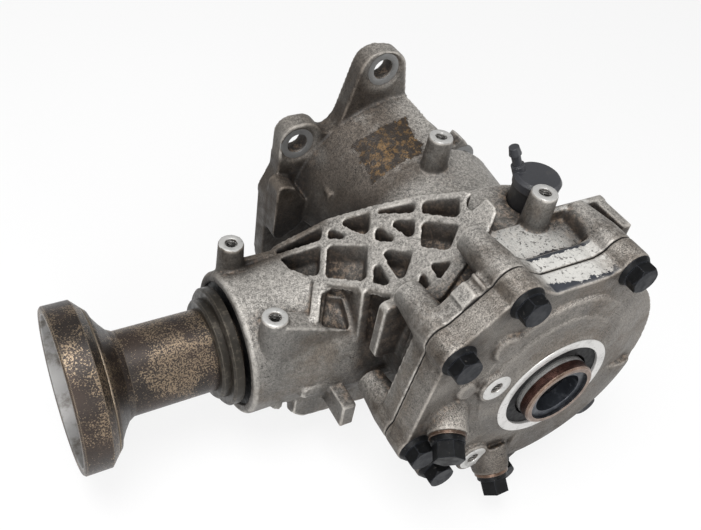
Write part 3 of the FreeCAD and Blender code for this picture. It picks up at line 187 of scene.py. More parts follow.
class StageSettings(bpy.types.PropertyGroup):
    """Camera and light"""
    azimuth: bpy.props.FloatProperty(
        name="Azimuth", description="Turn of the camera about the vertical", unit="ROTATION",
        default=math.radians(-36.24))
    elevation: bpy.props.FloatProperty(
        name="Elevation", description="Height of the camera above the horizon", unit="ROTATION",
        default=math.radians(42.4))
    roll: bpy.props.FloatProperty(
        name="Roll", description="Tilt of the picture", unit="ROTATION", default=math.radians(11.31))
    eye: bpy.props.FloatVectorProperty(
        name="Eye", description="Place of the camera", subtype="TRANSLATION",
        size=3, default=(-0.2809, -0.3775, 0.3395))
    focal_pixels: bpy.props.FloatProperty(
        name="Focal length", description="Focal length in pixels of the photograph", default=807.2)
    key: bpy.props.FloatProperty(
        name="Key light", description="Power of the large lamp overhead", default=7.2)
    world: bpy.props.FloatProperty(
        name="World light", description="Strength of the light from all round", default=0.45)


class TransferCaseSettings(bpy.types.PropertyGroup):
    """All settings of the transfer case"""
    casting: bpy.props.PointerProperty(
        name="Castings", description="Rounding and colours of the castings", type=CastingSettings)
    patch: bpy.props.PointerProperty(
        name="Patch and paint", description="The old patch and the old paint", type=PatchSettings)
    steel: bpy.props.PointerProperty(
        name="Steel", description="Colours and edges of the steel parts", type=SteelSettings)
    stage: bpy.props.PointerProperty(
        name="Stage", description="Camera and light", type=StageSettings)


def settings():
    return bpy.context.scene.transfer_case


# Material nodes

class Graph:
    """Short calls for the nodes of one material."""

    def __init__(self, name):
        self.material = bpy.data.materials.new(name)
        self.material.use_nodes = True
        self.tree = self.material.node_tree
        self.shader = self.tree.nodes["Principled BSDF"]
        places = self.add("ShaderNodeTexCoord")
        self.place = places.outputs["Object"]
        self.normal = places.outputs["Normal"]
        self.axes = None

    def add(self, kind, **values):
        node = self.tree.nodes.new(kind)
        for key, value in values.items():
            setattr(node, key, value)
        return node

    def put(self, socket, value):
        if isinstance(value, bpy.types.NodeSocket):
            self.tree.links.new(value, socket)
        elif hasattr(value, "__len__") and len(value) == 3 and socket.type == "RGBA":
            socket.default_value = (*value, 1.0)
        else:
            socket.default_value = value

    def noise(self, scale, detail, roughness=0.55):
        node = self.add("ShaderNodeTexNoise")
        self.put(node.inputs["Vector"], self.place)
        self.put(node.inputs["Scale"], scale)
        self.put(node.inputs["Detail"], detail)
        self.put(node.inputs["Roughness"], roughness)
        return node.outputs["Fac"]

    def cells(self, scale):
        node = self.add("ShaderNodeTexVoronoi")
        self.put(node.inputs["Vector"], self.place)
        self.put(node.inputs["Scale"], scale)
        return node.outputs["Distance"]

    def along(self, axis):
        """Distance of the place along X, Y or Z, in metres."""
        if self.axes is None:
            self.axes = self.add("ShaderNodeSeparateXYZ").outputs
            self.put(self.axes["X"].node.inputs[0], self.place)
        return self.axes[axis]

    def off(self, axis, middle):
        """How far the place is from a plane across the axis."""
        return self.math("ABSOLUTE", self.math("SUBTRACT", self.along(axis), middle))

    def facing(self, direction):
        """1 where the surface faces the direction, 0 where it lies along it."""
        dot = self.add("ShaderNodeVectorMath", operation="DOT_PRODUCT")
        self.put(dot.inputs[0], self.normal)
        self.put(dot.inputs[1], direction)
        return dot.outputs["Value"]

    def radius(self, first, second, middle=(0.0, 0.0)):
        """Distance from a line along the third axis."""
        a = self.math("SUBTRACT", self.along(first), middle[0])
        b = self.math("SUBTRACT", self.along(second), middle[1])
        return self.math("SQRT", self.math("ADD", self.times(a, a), self.times(b, b)))

    def streaks(self, value, scale):
        """Fine lines that follow equal amounts of a value."""
        node = self.add("ShaderNodeTexNoise", noise_dimensions="1D")
        self.put(node.inputs["W"], value)
        self.put(node.inputs["Scale"], scale)
        self.put(node.inputs["Detail"], 3.0)
        return node.outputs["Fac"]

    def times(self, first, second):
        return self.math("MULTIPLY", first, second)

    def most(self, first, second):
        return self.math("MAXIMUM", first, second)

    def math(self, operation, first, second=0.0, clamp=False):
        node = self.add("ShaderNodeMath", operation=operation, use_clamp=clamp)
        self.put(node.inputs[0], first)
        self.put(node.inputs[1], second)
        return node.outputs[0]

    def span(self, value, low, high, first=0.0, last=1.0):
        """The value spread from low..high to first..last, smoothly and clamped."""
        node = self.add("ShaderNodeMapRange", interpolation_type="SMOOTHSTEP")
        self.put(node.inputs["Value"], value)
        self.put(node.inputs["From Min"], low)
        self.put(node.inputs["From Max"], high)
        self.put(node.inputs["To Min"], first)
        self.put(node.inputs["To Max"], last)
        return node.outputs["Result"]

    def mix(self, share, first, second, blend="MIX"):
        node = self.add("ShaderNodeMix", data_type="RGBA", blend_type=blend)
        self.put(node.inputs["Factor"], share)
        self.put(node.inputs[6], first)
        self.put(node.inputs[7], second)
        return node.outputs[2]

    def shade(self, tone, factor):
        """The tone made darker or lighter by a factor, or stained by a colour."""
        return self.mix(1.0, tone, factor, "MULTIPLY")

    def hollow(self, distance, samples=6):
        """1 in the open, falling to 0 in deep corners."""
        node = self.add("ShaderNodeAmbientOcclusion", samples=samples, only_local=False)
        self.put(node.inputs["Distance"], distance)
        return node.outputs["AO"]

    def ridge(self):
        """Above one half on raised edges, and below it in the corners."""
        return self.add("ShaderNodeNewGeometry").outputs["Pointiness"]

    def edge(self, radius):
        """Softened normal, and a mask that is 1 on sharp edges."""
        bevel = self.add("ShaderNodeBevel", samples=4)
        self.put(bevel.inputs["Radius"], radius)
        normal = self.add("ShaderNodeNewGeometry").outputs["Normal"]
        dot = self.add("ShaderNodeVectorMath", operation="DOT_PRODUCT")
        self.put(dot.inputs[0], bevel.outputs["Normal"])
        self.put(dot.inputs[1], normal)
        return bevel.outputs["Normal"], self.span(dot.outputs["Value"], 0.995, 0.90)

    def bump(self, height, distance, strength, normal=None):
        node = self.add("ShaderNodeBump")
        self.put(node.inputs["Height"], height)
        self.put(node.inputs["Distance"], distance)
        self.put(node.inputs["Strength"], strength)
        if normal is not None:
            self.put(node.inputs["Normal"], normal)
        return node.outputs["Normal"]

    def finish(self, colour, roughness, metallic=0.0, normal=None, **sockets):
        self.put(self.shader.inputs["Base Color"], colour)
        self.put(self.shader.inputs["Roughness"], roughness)
        self.put(self.shader.inputs["Metallic"], metallic)
        if normal is not None:
            self.put(self.shader.inputs["Normal"], normal)
        for name, value in sockets.items():
            self.put(self.shader.inputs[name.replace("_", " ")], value)
        return self.material


def tinted(colour, factor):
    return tuple(min(1.0, c * factor) for c in colour)


def toned(colour, *factors):
    """The colour with a factor of its own for each of red, green and blue."""
    return tuple(c * f for c, f in zip(colour, factors))


def cast_skin(g, colour, coarse):
    """Mottled sand-cast aluminium, with painted light that makes it paler where it faces up. Gives the
    tone and its grain.
    """
    patches = g.span(g.noise(14.0, 6.0, 0.62), 0.32, 0.68)
    clouds = g.span(g.noise(70.0, 5.0, 0.65), 0.35, 0.68)
    upward = g.span(g.facing(UP), 0.30, 0.95)
    tone = g.mix(patches, tinted(colour, 0.66), tinted(colour, 1.18))
    tone = g.mix(g.times(clouds, 0.5), tone, tinted(colour, 1.65))
    # Painted light: faces that turn up are made up to 2.55 times paler, as if lit from above.
    tone = g.mix(g.times(upward, 0.7), tone, tinted(colour, 2.55))
    stain = g.times(g.span(g.noise(24.0, 6.0, 0.7), 0.46, 0.66), g.span(upward, 1.0, 0.1))
    tone = g.mix(g.times(stain, 0.6), tone, toned(colour, 0.60, 0.47, 0.35))
    fine = g.noise(1500.0, 2.0, 0.7)
    coarser = g.noise(520.0, 3.0, 0.7)
    grain = g.math("ADD", g.times(fine, 1.0 - coarse), g.times(coarser, coarse))
    depth = g.span(upward, 0.0, 1.0, 0.32, 0.58)
    speckle = g.span(grain, 0.37, 0.63, g.math("SUBTRACT", 1.0, depth), g.math("ADD", 1.0, depth))
    tone = g.shade(tone, speckle)
    drifts = g.span(g.noise(38.0, 5.0, 0.7), 0.42, 0.60)
    pepper = g.times(g.span(g.noise(760.0, 3.0, 0.75), 0.585, 0.625), drifts)
    return g.mix(g.times(pepper, 0.85), tone, tinted(colour, 0.12)), coarser


def soiled_and_shaded(g, tone, grime_and_shade, reach, wear, bright):
    """Worn ridges, painted shade in the hollows, and dirt mixed with painted shade that thickens towards
    the corners. Gives the tone and the mask of dirt and painted shade.
    """
    ridge = g.ridge()
    scuffs = g.span(g.noise(110.0, 5.0, 0.7), 0.34, 0.58)
    worn = g.times(g.span(ridge, 0.506, 0.535), scuffs)
    tone = g.mix(g.times(worn, wear), tone, bright)
    deep = g.hollow(reach)
    # Painted shade: the tone falls to 0.13 of itself in deep corners and hollows.
    tone = g.shade(tone, g.span(deep, 0.34, 0.90, 0.13, 1.0))
    # Dirt and painted shade: dark mud laid into the hollows and the concave creases, where dirt gathers
    # and shade falls.
    hollow_dirt_and_shade = g.times(g.span(deep, 0.84, 0.58), g.span(g.noise(42.0, 6.0, 0.70), 0.32, 0.52))
    crease_dirt_and_shade = g.times(g.span(ridge, 0.492, 0.462), g.span(g.noise(30.0, 5.0, 0.6), 0.28, 0.52))
    dirt_and_shade = g.most(hollow_dirt_and_shade, crease_dirt_and_shade)
    level = g.span(g.facing(UP), 0.35, 0.75)
    crumbs = g.times(g.span(g.noise(260.0, 5.0, 0.80), 0.47, 0.60), g.span(level, 0.0, 1.0, 0.25, 1.0))
    mud_and_shade = g.mix(crumbs, tinted(grime_and_shade, 0.8), toned(grime_and_shade, 7.5, 7.6, 7.4))
    return g.mix(g.times(dirt_and_shade, 0.93), tone, mud_and_shade), dirt_and_shade


def brown_darkened(g, tone, share):
    """A thin brown darkening over a share of the surface: old oil, and the plain darkening low on the
    case.
    """
    return g.shade(tone, g.mix(share, (1.0, 1.0, 1.0), (0.30, 0.262, 0.232)))


def flange_oil_and_low_darkening(g):
    """Where old oil has run towards the mounting flange on the nose's side, and a plain darkening low on
    the case.
    """
    runs = g.noise(34.0, 5.0, 0.62)
    rear = g.times(g.span(g.along("Y"), -0.082, -0.066), g.span(g.along("X"), 0.006, -0.022))
    for x, y, z in EAR_FACES[:2]:
        rear = g.times(rear, g.span(g.radius("X", "Z", (x, z)), 0.0125, 0.0180, 0.35, 1.0))
    # Darker towards the bottom, on the front part of the case.
    low = g.times(g.span(g.along("Z"), -0.030, -0.058), g.span(g.along("Y"), -0.135, -0.160))
    return g.times(g.most(rear, g.times(low, 0.75)), g.span(runs, 0.22, 0.50))


def lug_grime(g):
    """Old oil round the bolts of the joint and in patches between them."""
    near = 0.0
    for place in LUG_PLACES:
        near = g.most(near, g.span(g.radius("X", "Z", place), 0.0235, 0.0120))
    smears = g.span(g.noise(60.0, 6.0, 0.72), 0.40, 0.60)
    drifts = g.times(g.span(g.noise(19.0, 5.0, 0.6), 0.54, 0.68), 0.55)
    share = g.most(g.times(near, g.span(smears, 0.0, 1.0, 0.35, 1.0)), g.times(drifts, smears))
    return g.times(share, g.span(g.along("Y"), -0.150, -0.166))


def joint_line(g, tone):
    """The dark line of the gasket joint."""
    return g.mix(g.span(g.off("Y", JOINT_Y), 0.0006, 0.0002), tone, (0.012, 0.011, 0.010))


def skimmed_top(g, tone, grain, slate):
    """The pale flat top of the housing, with paint along its edges. Gives the tone and the paint."""
    level = g.times(g.span(g.facing(UP), 0.80, 0.95), g.span(g.off("Z", TOP_Z), 0.0065, 0.0050))
    field = g.times(g.span(g.along("Y"), -0.138, -0.142), g.span(g.off("X", TOP_X), 0.044, 0.041))
    top = g.times(level, field)
    bare = g.mix(g.span(grain, 0.45, 0.34), (0.62, 0.61, 0.58), (0.12, 0.115, 0.11))
    tone = g.mix(g.times(top, 0.92), tone, bare)
    front = g.span(g.off("Y", TOP_FRONT_Y), 0.0120, 0.0)
    rear = g.span(g.off("Y", TOP_REAR_Y), 0.0070, 0.0)
    close = g.times(g.most(front, g.times(rear, 0.85)), 0.44)
    flakes = g.math("ADD", close, g.times(g.noise(75.0, 6.0, 0.72), 1.1))
    paint = g.times(top, g.span(flakes, 0.81, 0.825))
    return g.mix(paint, tone, slate), paint


def old_patch(g, tone, values):
    """The worn amber patch on the flare, torn at its edges. Gives the tone and the patch."""
    across = g.math("DIVIDE", g.off("X", values.middle[0]), values.half_size[0])
    along = g.math("DIVIDE", g.off("Y", values.middle[1]), values.half_size[1])
    edge = g.math("ADD", g.most(across, along), g.times(g.noise(150.0, 6.0, 0.75), 0.75))
    above = g.span(g.along("Z"), 0.028, 0.034)
    left = g.times(above, g.span(edge, 1.36, 1.31))
    amber = tuple(values.amber)
    paper = g.mix(g.span(g.noise(75.0, 5.0, 0.7), 0.36, 0.62), tinted(amber, 0.50), tinted(amber, 1.5))
    paper = g.mix(g.span(g.noise(230.0, 6.0, 0.85), 0.43, 0.50), paper, (0.026, 0.019, 0.014))
    return g.mix(left, tone, paper), left


def cast_finish(name, colour, reach, wear, coarse, patch=None, turned=False):
    """Sand-cast aluminium with its wear, dirt, joint line and what is left of its paint, with painted
    light on the faces that turn up and painted shade in the corners.
    """
    g = Graph(name)
    tone, grain = cast_skin(g, colour, coarse)
    if turned:
        arcs = g.streaks(g.radius("X", "Z"), 1500.0)
        tone = g.shade(tone, g.span(arcs, 0.3, 0.7, 0.86, 1.14))
    tone, paint = skimmed_top(g, tone, grain, tuple(settings().patch.slate))
    raised = g.times(paint, 0.5)
    clear = 1.0
    if patch is not None:
        tone, left = old_patch(g, tone, patch)
        raised = g.most(raised, g.times(left, 0.6))
        clear = g.math("SUBTRACT", 1.0, raised)
    # Worn ridges, painted shade in the hollows, and dirt with painted shade in the corners.
    tone, dirt_and_shade = soiled_and_shaded(g, tone, tuple(settings().casting.grime_and_shade), reach, wear, tinted(colour, 3.6))
    tone = brown_darkened(g, tone, g.times(flange_oil_and_low_darkening(g), clear))
    tone = brown_darkened(g, tone, g.times(lug_grime(g), 0.70))
    tone = joint_line(g, tone)
    pits = g.math("ADD", g.times(g.noise(480.0, 4.0, 0.6), 0.7), g.times(g.cells(900.0), 0.45))
    normal = g.bump(g.math("ADD", pits, raised), 0.00035, 0.8)
    roughness = g.span(g.noise(140.0, 3.0, 0.6), 0.3, 0.7, 0.44, 0.70)
    roughness = g.math("ADD", roughness, g.times(dirt_and_shade, 0.12), clamp=True)
    metallic = g.math("SUBTRACT", 0.42, g.times(dirt_and_shade, 0.4), clamp=True)
    return g.finish(tone, roughness, metallic, normal)


def corner_dirt_and_shade(g, tone, dirt_and_shade, share, reach=0.006, first=0.7, last=0.2):
    """Dirt and painted shade that thicken towards the corners of a steel part."""
    # Painted shade mixed with dirt: the dark colour fills the hollows found by ambient occlusion.
    return g.mix(g.times(g.span(g.hollow(reach, 4), first, last), share), tone, dirt_and_shade)


def steel_finish(name, colour, bright, metallic, roughness):
    """Turned or forged steel with a stained skin, bright specks and worn edges."""
    g = Graph(name)
    soft, worn = g.edge(settings().steel.edge)
    stains = g.span(g.noise(26.0, 6.0, 0.62), 0.32, 0.68)
    streaks = g.noise(260.0, 3.0, 0.6)
    specks = g.noise(520.0, 4.0, 0.72)
    tone = g.mix(stains, tinted(colour, 0.65), tinted(colour, 1.35))
    tone = g.mix(g.span(streaks, 0.52, 0.72, 0.0, 0.35), tone, bright)
    tone = g.mix(g.span(specks, 0.58, 0.72, 0.0, 0.35), tone, bright)
    tone = g.mix(g.span(specks, 0.42, 0.30, 0.0, 0.5), tone, tinted(colour, 0.35))
    tone = g.mix(g.times(worn, 0.6), tone, bright)
    # Dirt and painted shade in the corners.
    tone = corner_dirt_and_shade(g, tone, tinted(settings().casting.grime_and_shade, 0.8), 0.7, 0.008)
    normal = g.bump(g.math("ADD", g.times(streaks, 0.6), g.times(specks, 0.5)), 0.00012, 0.6, soft)
    rough = g.span(g.noise(180.0, 3.0, 0.6), 0.3, 0.7, roughness - 0.09, roughness + 0.12)
    return g.finish(tone, rough, metallic, normal)


def machined_finish(name, colour=(0.50, 0.495, 0.48)):
    """Freshly cut aluminium, bright, with fine tool marks and a few stains."""
    g = Graph(name)
    marks = g.noise(900.0, 2.0, 0.5)
    stains = g.span(g.noise(90.0, 5.0, 0.65), 0.50, 0.75)
    tone = g.mix(g.times(stains, 0.55), colour, tinted(colour, 0.50))
    tone = g.mix(g.span(g.noise(520.0, 3.0, 0.7), 0.40, 0.30, 0.0, 0.6), tone, tinted(colour, 0.2))
    return g.finish(tone, g.span(marks, 0.3, 0.7, 0.30, 0.46), 0.55, g.bump(marks, 0.00006, 0.5))


def threaded_finish(name, colour=(0.30, 0.29, 0.275)):
    """The tapped wall of a hole, with painted shade in dark bands between the threads."""
    g = Graph(name)
    reach = g.math("ADD", g.along("Z"), g.along("Y"))
    turns = g.math("SINE", g.times(reach, 5000.0))
    # Painted shade: the grooves between the threads are darkened to 0.12 of the colour.
    tone = g.mix(g.span(turns, -0.6, 0.6), tinted(colour, 0.12), colour)
    return g.finish(tone, 0.4, 0.7, g.bump(turns, 0.0002, 0.8))


def cup_finish(name, colour):
    """Rust-browned turned steel with worn golden specks, and a bright bore."""
    g = Graph(name)
    soft, worn = g.edge(0.0010)
    blotches = g.span(g.noise(30.0, 6.0, 0.65), 0.36, 0.66)
    specks = g.noise(1100.0, 3.0, 0.75)
    share = g.span(g.noise(46.0, 4.0, 0.6), 0.36, 0.62, 0.66, 0.50)
    rubbed = g.span(g.math("SUBTRACT", specks, share), -0.010, 0.025)
    tone = g.mix(blotches, tinted(colour, 0.75), toned(colour, 1.60, 1.42, 1.30))
    tone = g.mix(g.times(rubbed, 0.80), tone, (0.31, 0.235, 0.160))
    tone = g.mix(g.span(specks, 0.42, 0.32, 0.0, 0.7), tone, tinted(colour, 0.35))
    tone = g.mix(g.times(worn, 0.45), tone, (0.34, 0.27, 0.19))
    within = g.span(g.radius("Y", "Z", OUTPUT_AXIS), CUP_BORE_RADIUS + 0.0008, CUP_BORE_RADIUS + 0.0002)
    inside = g.times(within, g.span(g.along("X"), CUP_BORE_X + 0.001, CUP_BORE_X - 0.001))
    steel = g.mix(g.span(g.noise(60.0, 5.0, 0.7), 0.44, 0.66), (0.30, 0.295, 0.29), (0.09, 0.075, 0.06))
    tone = g.mix(inside, tone, steel)
    # Dirt and painted shade in the corners.
    tone = corner_dirt_and_shade(g, tone, (0.012, 0.010, 0.008), 0.75, 0.008, 0.75, 0.25)
    normal = g.bump(g.times(specks, 0.8), 0.00016, 0.7, soft)
    shine = g.math("ADD", 0.40, g.times(rubbed, 0.4))
    return g.finish(tone, g.span(specks, 0.3, 0.7, 0.48, 0.32), shine, normal)


def shaft_finish(name):
    """The end of the shaft: a tan face, a maroon band, and ground steel behind it."""
    g = Graph(name)
    soft, worn = g.edge(0.0006)
    depth = g.math("SUBTRACT", g.along("Y"), SHAFT_FRONT_Y)
    marks = g.streaks(g.along("Y"), 2600.0)
    mottle = g.span(g.noise(160.0, 5.0, 0.7), 0.34, 0.66)
    steel = g.mix(mottle, (0.52, 0.51, 0.495), (0.74, 0.73, 0.715))
    maroon = g.mix(mottle, (0.030, 0.013, 0.010), (0.085, 0.040, 0.032))
    tan = g.mix(mottle, (0.120, 0.080, 0.060), (0.220, 0.160, 0.126))
    tone = g.mix(g.span(depth, 0.0066, 0.0058), steel, maroon)
    inside = g.span(g.radius("X", "Z"), 0.0200, 0.0195)
    tone = g.mix(inside, tone, g.mix(mottle, (0.020, 0.021, 0.025), (0.075, 0.080, 0.090)))
    face = g.span(g.facing(FRONT), 0.55, 0.75)
    tone = g.mix(g.times(face, g.span(depth, 0.003, 0.002)), tone, tan)
    tone = g.mix(g.times(worn, 0.5), tone, (0.55, 0.42, 0.33))
    # Dirt and painted shade in the corners.
    tone = corner_dirt_and_shade(g, tone, (0.010, 0.008, 0.007), 0.8)
    return g.finish(tone, g.span(marks, 0.3, 0.7, 0.24, 0.38), 0.75, g.bump(marks, 0.00005, 0.5, soft))


def bolt_finish(name, colour, face):
    """Black-oxide steel, with a painted blue-grey sheen on the faces of the heads that face the front."""
    g = Graph(name)
    soft, worn = g.edge(0.0007)
    rubbed = g.span(g.noise(150.0, 5.0, 0.72), 0.42, 0.66)
    tone = g.mix(rubbed, colour, tinted(colour, 2.2))
    front = g.span(g.facing(FRONT), 0.85, 0.97)
    # Painted sheen: faces turned to the front take the lighter blue-grey colour.
    tone = g.mix(g.times(front, 0.85), tone, face)
    tone = g.mix(g.times(worn, 0.55), tone, tinted(face, 2.6))
    tone = g.mix(g.span(g.noise(420.0, 3.0, 0.7), 0.62, 0.74, 0.0, 0.35), tone, (0.16, 0.15, 0.135))
    # Dirt and painted shade in the corners.
    tone = corner_dirt_and_shade(g, tone, (0.004, 0.004, 0.004), 0.8)
    return g.finish(tone, g.span(g.noise(200.0, 3.0), 0.3, 0.7, 0.40, 0.60), 0.30,
                    g.bump(g.noise(500.0, 3.0), 0.00008, 0.6, soft), Specular_IOR_Level=0.20)


def rubber_finish(name, colour=(0.0035, 0.0035, 0.004)):
    """Dull black rubber with a little dust."""
    g = Graph(name)
    soft = g.edge(0.0004)[0]
    dust = g.span(g.noise(160.0, 5.0, 0.7), 0.54, 0.78, 0.0, 0.10)
    tone = g.mix(dust, colour, (0.075, 0.066, 0.056))
    return g.finish(tone, g.span(g.noise(300.0, 3.0), 0.3, 0.7, 0.40, 0.60), 0.0,
                    g.bump(g.noise(700.0, 2.0), 0.00008, 0.5, soft), Specular_IOR_Level=0.14)


def plastic_finish(name, colour):
    """Moulded black plastic, slightly glossy, with a fine grain."""
    g = Graph(name)
    soft, worn = g.edge(0.0007)
    tone = g.mix(g.span(g.noise(90.0, 5.0, 0.7), 0.55, 0.80, 0.0, 0.35), colour, (0.09, 0.082, 0.072))
    tone = g.mix(g.times(worn, 0.25), tone, (0.12, 0.12, 0.125))
    return g.finish(tone, g.span(g.noise(220.0, 3.0), 0.3, 0.7, 0.28, 0.46), 0.0,
                    g.bump(g.cells(1500.0), 0.00005, 0.5, soft))


# Pieces

def choose(piece):
    bpy.ops.object.select_all(action="DESELECT")
    piece.select_set(True)
    bpy.context.view_layer.objects.active = piece


def dress(piece, material):
    """Give a piece one finish all over."""
    piece.data.materials.clear()
    piece.data.materials.append(material)


def dress_nodes(material, *nodes):
    for node in nodes:
        dress(NODES[node], material)


def apply_modifier(piece, kind, **values):
    modifier = piece.modifiers.new(kind.title(), kind)
    for key, value in values.items():
        setattr(modifier, key, value)
    bpy.ops.object.modifier_apply(modifier=modifier.name)


def set_corners(corners, fill):
    """A new piece with its corners at the given places, filled or not, selected in edit mode."""
    bpy.ops.object.select_all(action="DESELECT")
    bpy.ops.mesh.primitive_circle_add(vertices=len(corners), radius=0.01, fill_type=fill)
    piece = bpy.context.active_object
    for vertex, corner in zip(piece.data.vertices, corners):
        vertex.co = corner
    bpy.ops.object.mode_set(mode="EDIT")
    bpy.ops.mesh.select_all(action="SELECT")
    return piece


def closed(piece):
    """Leave edit mode with the faces turned outwards."""
    bpy.ops.mesh.select_all(action="SELECT")
    bpy.ops.mesh.normals_make_consistent(inside=False)
    bpy.ops.object.mode_set(mode="OBJECT")
    return piece


def swept_round(profile, angle):
    """A profile of (radius, y, angle) swept round the input axis, from above towards +X."""
    corners = [(r * math.cos(math.radians(a)), y, r * math.sin(math.radians(a))) for r, y, a in profile]
    piece = set_corners(corners, "NGON")
    bpy.ops.mesh.spin(steps=FLARE_GAP_STEPS, angle=math.radians(angle), center=(0.0, 0.0, 0.0),
                      axis=FRONT)
    return closed(piece)


def plate(outline, start, end):
    """An outline of (x, z) drawn out along Y."""
    piece = set_corners([(x, start, z) for x, z in outline], "NGON")
    bpy.ops.mesh.extrude_region_move(TRANSFORM_OT_translate={"value": (0.0, end - start, 0.0)})
    return closed(piece)


def wedge(corners):
    """The convex solid between corners."""
    piece = set_corners(corners, "NOTHING")
    bpy.ops.mesh.convex_hull()
    return closed(piece)


def combine(piece, other, operation):
    """Cut the other piece out of this one, or join it on."""
    choose(piece)
    apply_modifier(piece, "BOOLEAN", operation=operation, solver="EXACT", object=other)
    bpy.data.objects.remove(other)


def shape_case(piece):
    """Shape what the solid lacks: beside ear 1, and on the nose below the lattice."""
    combine(piece, swept_round(FLARE_GAP, FLARE_GAP_ANGLE), "DIFFERENCE")
    combine(piece, plate(FLANGE_GAP, FLANGE_GAP_START, FLANGE_GAP_END), "DIFFERENCE")
    combine(piece, wedge(NOSE_POCKET), "DIFFERENCE")
    combine(piece, wedge(NOSE_RIB), "UNION")


def rounded_casting(node, name, shape=None):
    """A copy of a casting whose edges and corners are rounded as the mould leaves them."""
    values = settings().casting
    piece = bpy.data.objects.new(name, NODES[node].data.copy())
    bpy.context.scene.collection.objects.link(piece)
    choose(piece)
    bpy.ops.object.mode_set(mode="EDIT")
    bpy.ops.mesh.select_all(action="SELECT")
    bpy.ops.mesh.remove_doubles(threshold=CASTING_MERGE)
    bpy.ops.object.mode_set(mode="OBJECT")
    if shape is not None:
        shape(piece)
        choose(piece)
    apply_modifier(piece, "REMESH", mode="VOXEL", voxel_size=values.grain, adaptivity=0.0)
    apply_modifier(piece, "SMOOTH", factor=0.5, iterations=values.rounding)
    count = len(piece.data.polygons) * 2  # triangles, because the remeshed faces have four sides
    if count > values.most_faces:
        apply_modifier(piece, "DECIMATE", ratio=values.most_faces / count)
    bpy.ops.object.shade_smooth()
    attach(piece, "case")
    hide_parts(node)
    return piece


def turned_ring(inner, outer, height, edge):
    """A ring about Z with its top at the origin: a rectangle with broken corners, spun round."""
    bpy.ops.object.select_all(action="DESELECT")
    bpy.ops.mesh.primitive_plane_add(size=1.0, location=((inner + outer) / 2, 0.0, -height / 2),
                                     rotation=(math.pi / 2, 0.0, 0.0))
    ring = bpy.context.active_object
    ring.scale = (outer - inner, height, 1.0)
    bpy.ops.object.transform_apply(location=True, rotation=True, scale=True)
    bpy.ops.object.mode_set(mode="EDIT")
    bpy.ops.mesh.select_all(action="SELECT")
    bpy.ops.mesh.bevel(offset=edge, segments=2, affect="VERTICES")
    bpy.ops.mesh.select_all(action="SELECT")
    bpy.ops.mesh.delete(type="ONLY_FACE")
    bpy.ops.mesh.select_all(action="SELECT")
    bpy.ops.mesh.spin(steps=RING_STEPS, angle=math.tau, center=(0.0, 0.0, 0.0), axis=UP)
    bpy.ops.mesh.select_all(action="SELECT")
    bpy.ops.mesh.remove_doubles(threshold=RING_MERGE)
    bpy.ops.mesh.normals_make_consistent(inside=False)
    bpy.ops.object.mode_set(mode="OBJECT")
    bpy.ops.object.shade_smooth_by_angle(angle=math.radians(40.0))
    return ring


def set_rings(name, sizes, places, direction, material):
    """Copies of a turned ring, each with its top at a place and facing the direction."""
    pattern = turned_ring(*sizes)
    turn = Vector(direction).to_track_quat("Z", "Y").to_matrix().to_4x4()
    for i, place in enumerate(places):
        ring = bpy.data.objects.new(f"{name}_{i + 1}", pattern.data.copy())
        bpy.context.scene.collection.objects.link(ring)
        ring.data.transform(Matrix.Translation(place) @ turn)
        ring.data.materials.append(material)
        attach(ring, "case")
    bpy.data.objects.remove(pattern)


class TRANSFERCASE_OT_castings(bpy.types.Operator):
    """Round the case and the cover and give them their cast finish"""
    bl_idname = "transfer_case.castings"
    bl_label = "Castings"

    def execute(self, context):
        values = settings().casting
        case = rounded_casting("main_case", "case_casting", shape_case)
        # Both cast finishes carry painted light on the faces that turn up and painted shade in the
        # corners.
        dress(case, cast_finish("Weathered case with painted light and shade", tuple(values.aluminium), 0.028, 0.85, 0.45,
                                patch=settings().patch))
        cover = rounded_casting("side_cover", "cover_casting")
        dress(cover, cast_finish("Weathered cover with painted light and shade", tuple(values.cover), 0.030, 0.45, 0.25,
                                 turned=True))
        return {"FINISHED"}


class TRANSFERCASE_OT_machining(bpy.types.Operator):
    """Set the machined rings on the posts, ears and bosses and round the cover's bore"""
    bl_idname = "transfer_case.machining"
    bl_label = "Machined faces"

    def execute(self, context):
        bright = machined_finish("Machined face")
        set_rings("post_ring", POST_RING, POST_TOPS, UP, bright)
        set_rings("boss_ring", BOSS_RING, BOSS_FRONTS, FRONT, bright)
        edge = machined_finish("Turned bore edge", (0.56, 0.55, 0.535))
        set_rings("bore_ring", BORE_RING, [(0.0, BORE_Y, 0.0)], FRONT, edge)
        worn = machined_finish("Worn spot face", (0.20, 0.20, 0.198))
        set_rings("ear_ring", EAR_RING, EAR_FACES, FRONT, worn)
        thread = threaded_finish("Tapped wall")
        in_posts = [(x, y, z - THREAD_DEPTH) for x, y, z in POST_TOPS]
        set_rings("post_thread", POST_THREAD, in_posts, UP, thread)
        in_bosses = [(x, y + THREAD_DEPTH, z) for x, y, z in BOSS_FRONTS]
        set_rings("boss_thread", BOSS_THREAD, in_bosses, FRONT, thread)
        set_rings("seal_wire", SEAL_WIRE, [(0.0, BORE_Y + WIRE_DEPTH, 0.0)], FRONT, bright)
        return {"FINISHED"}


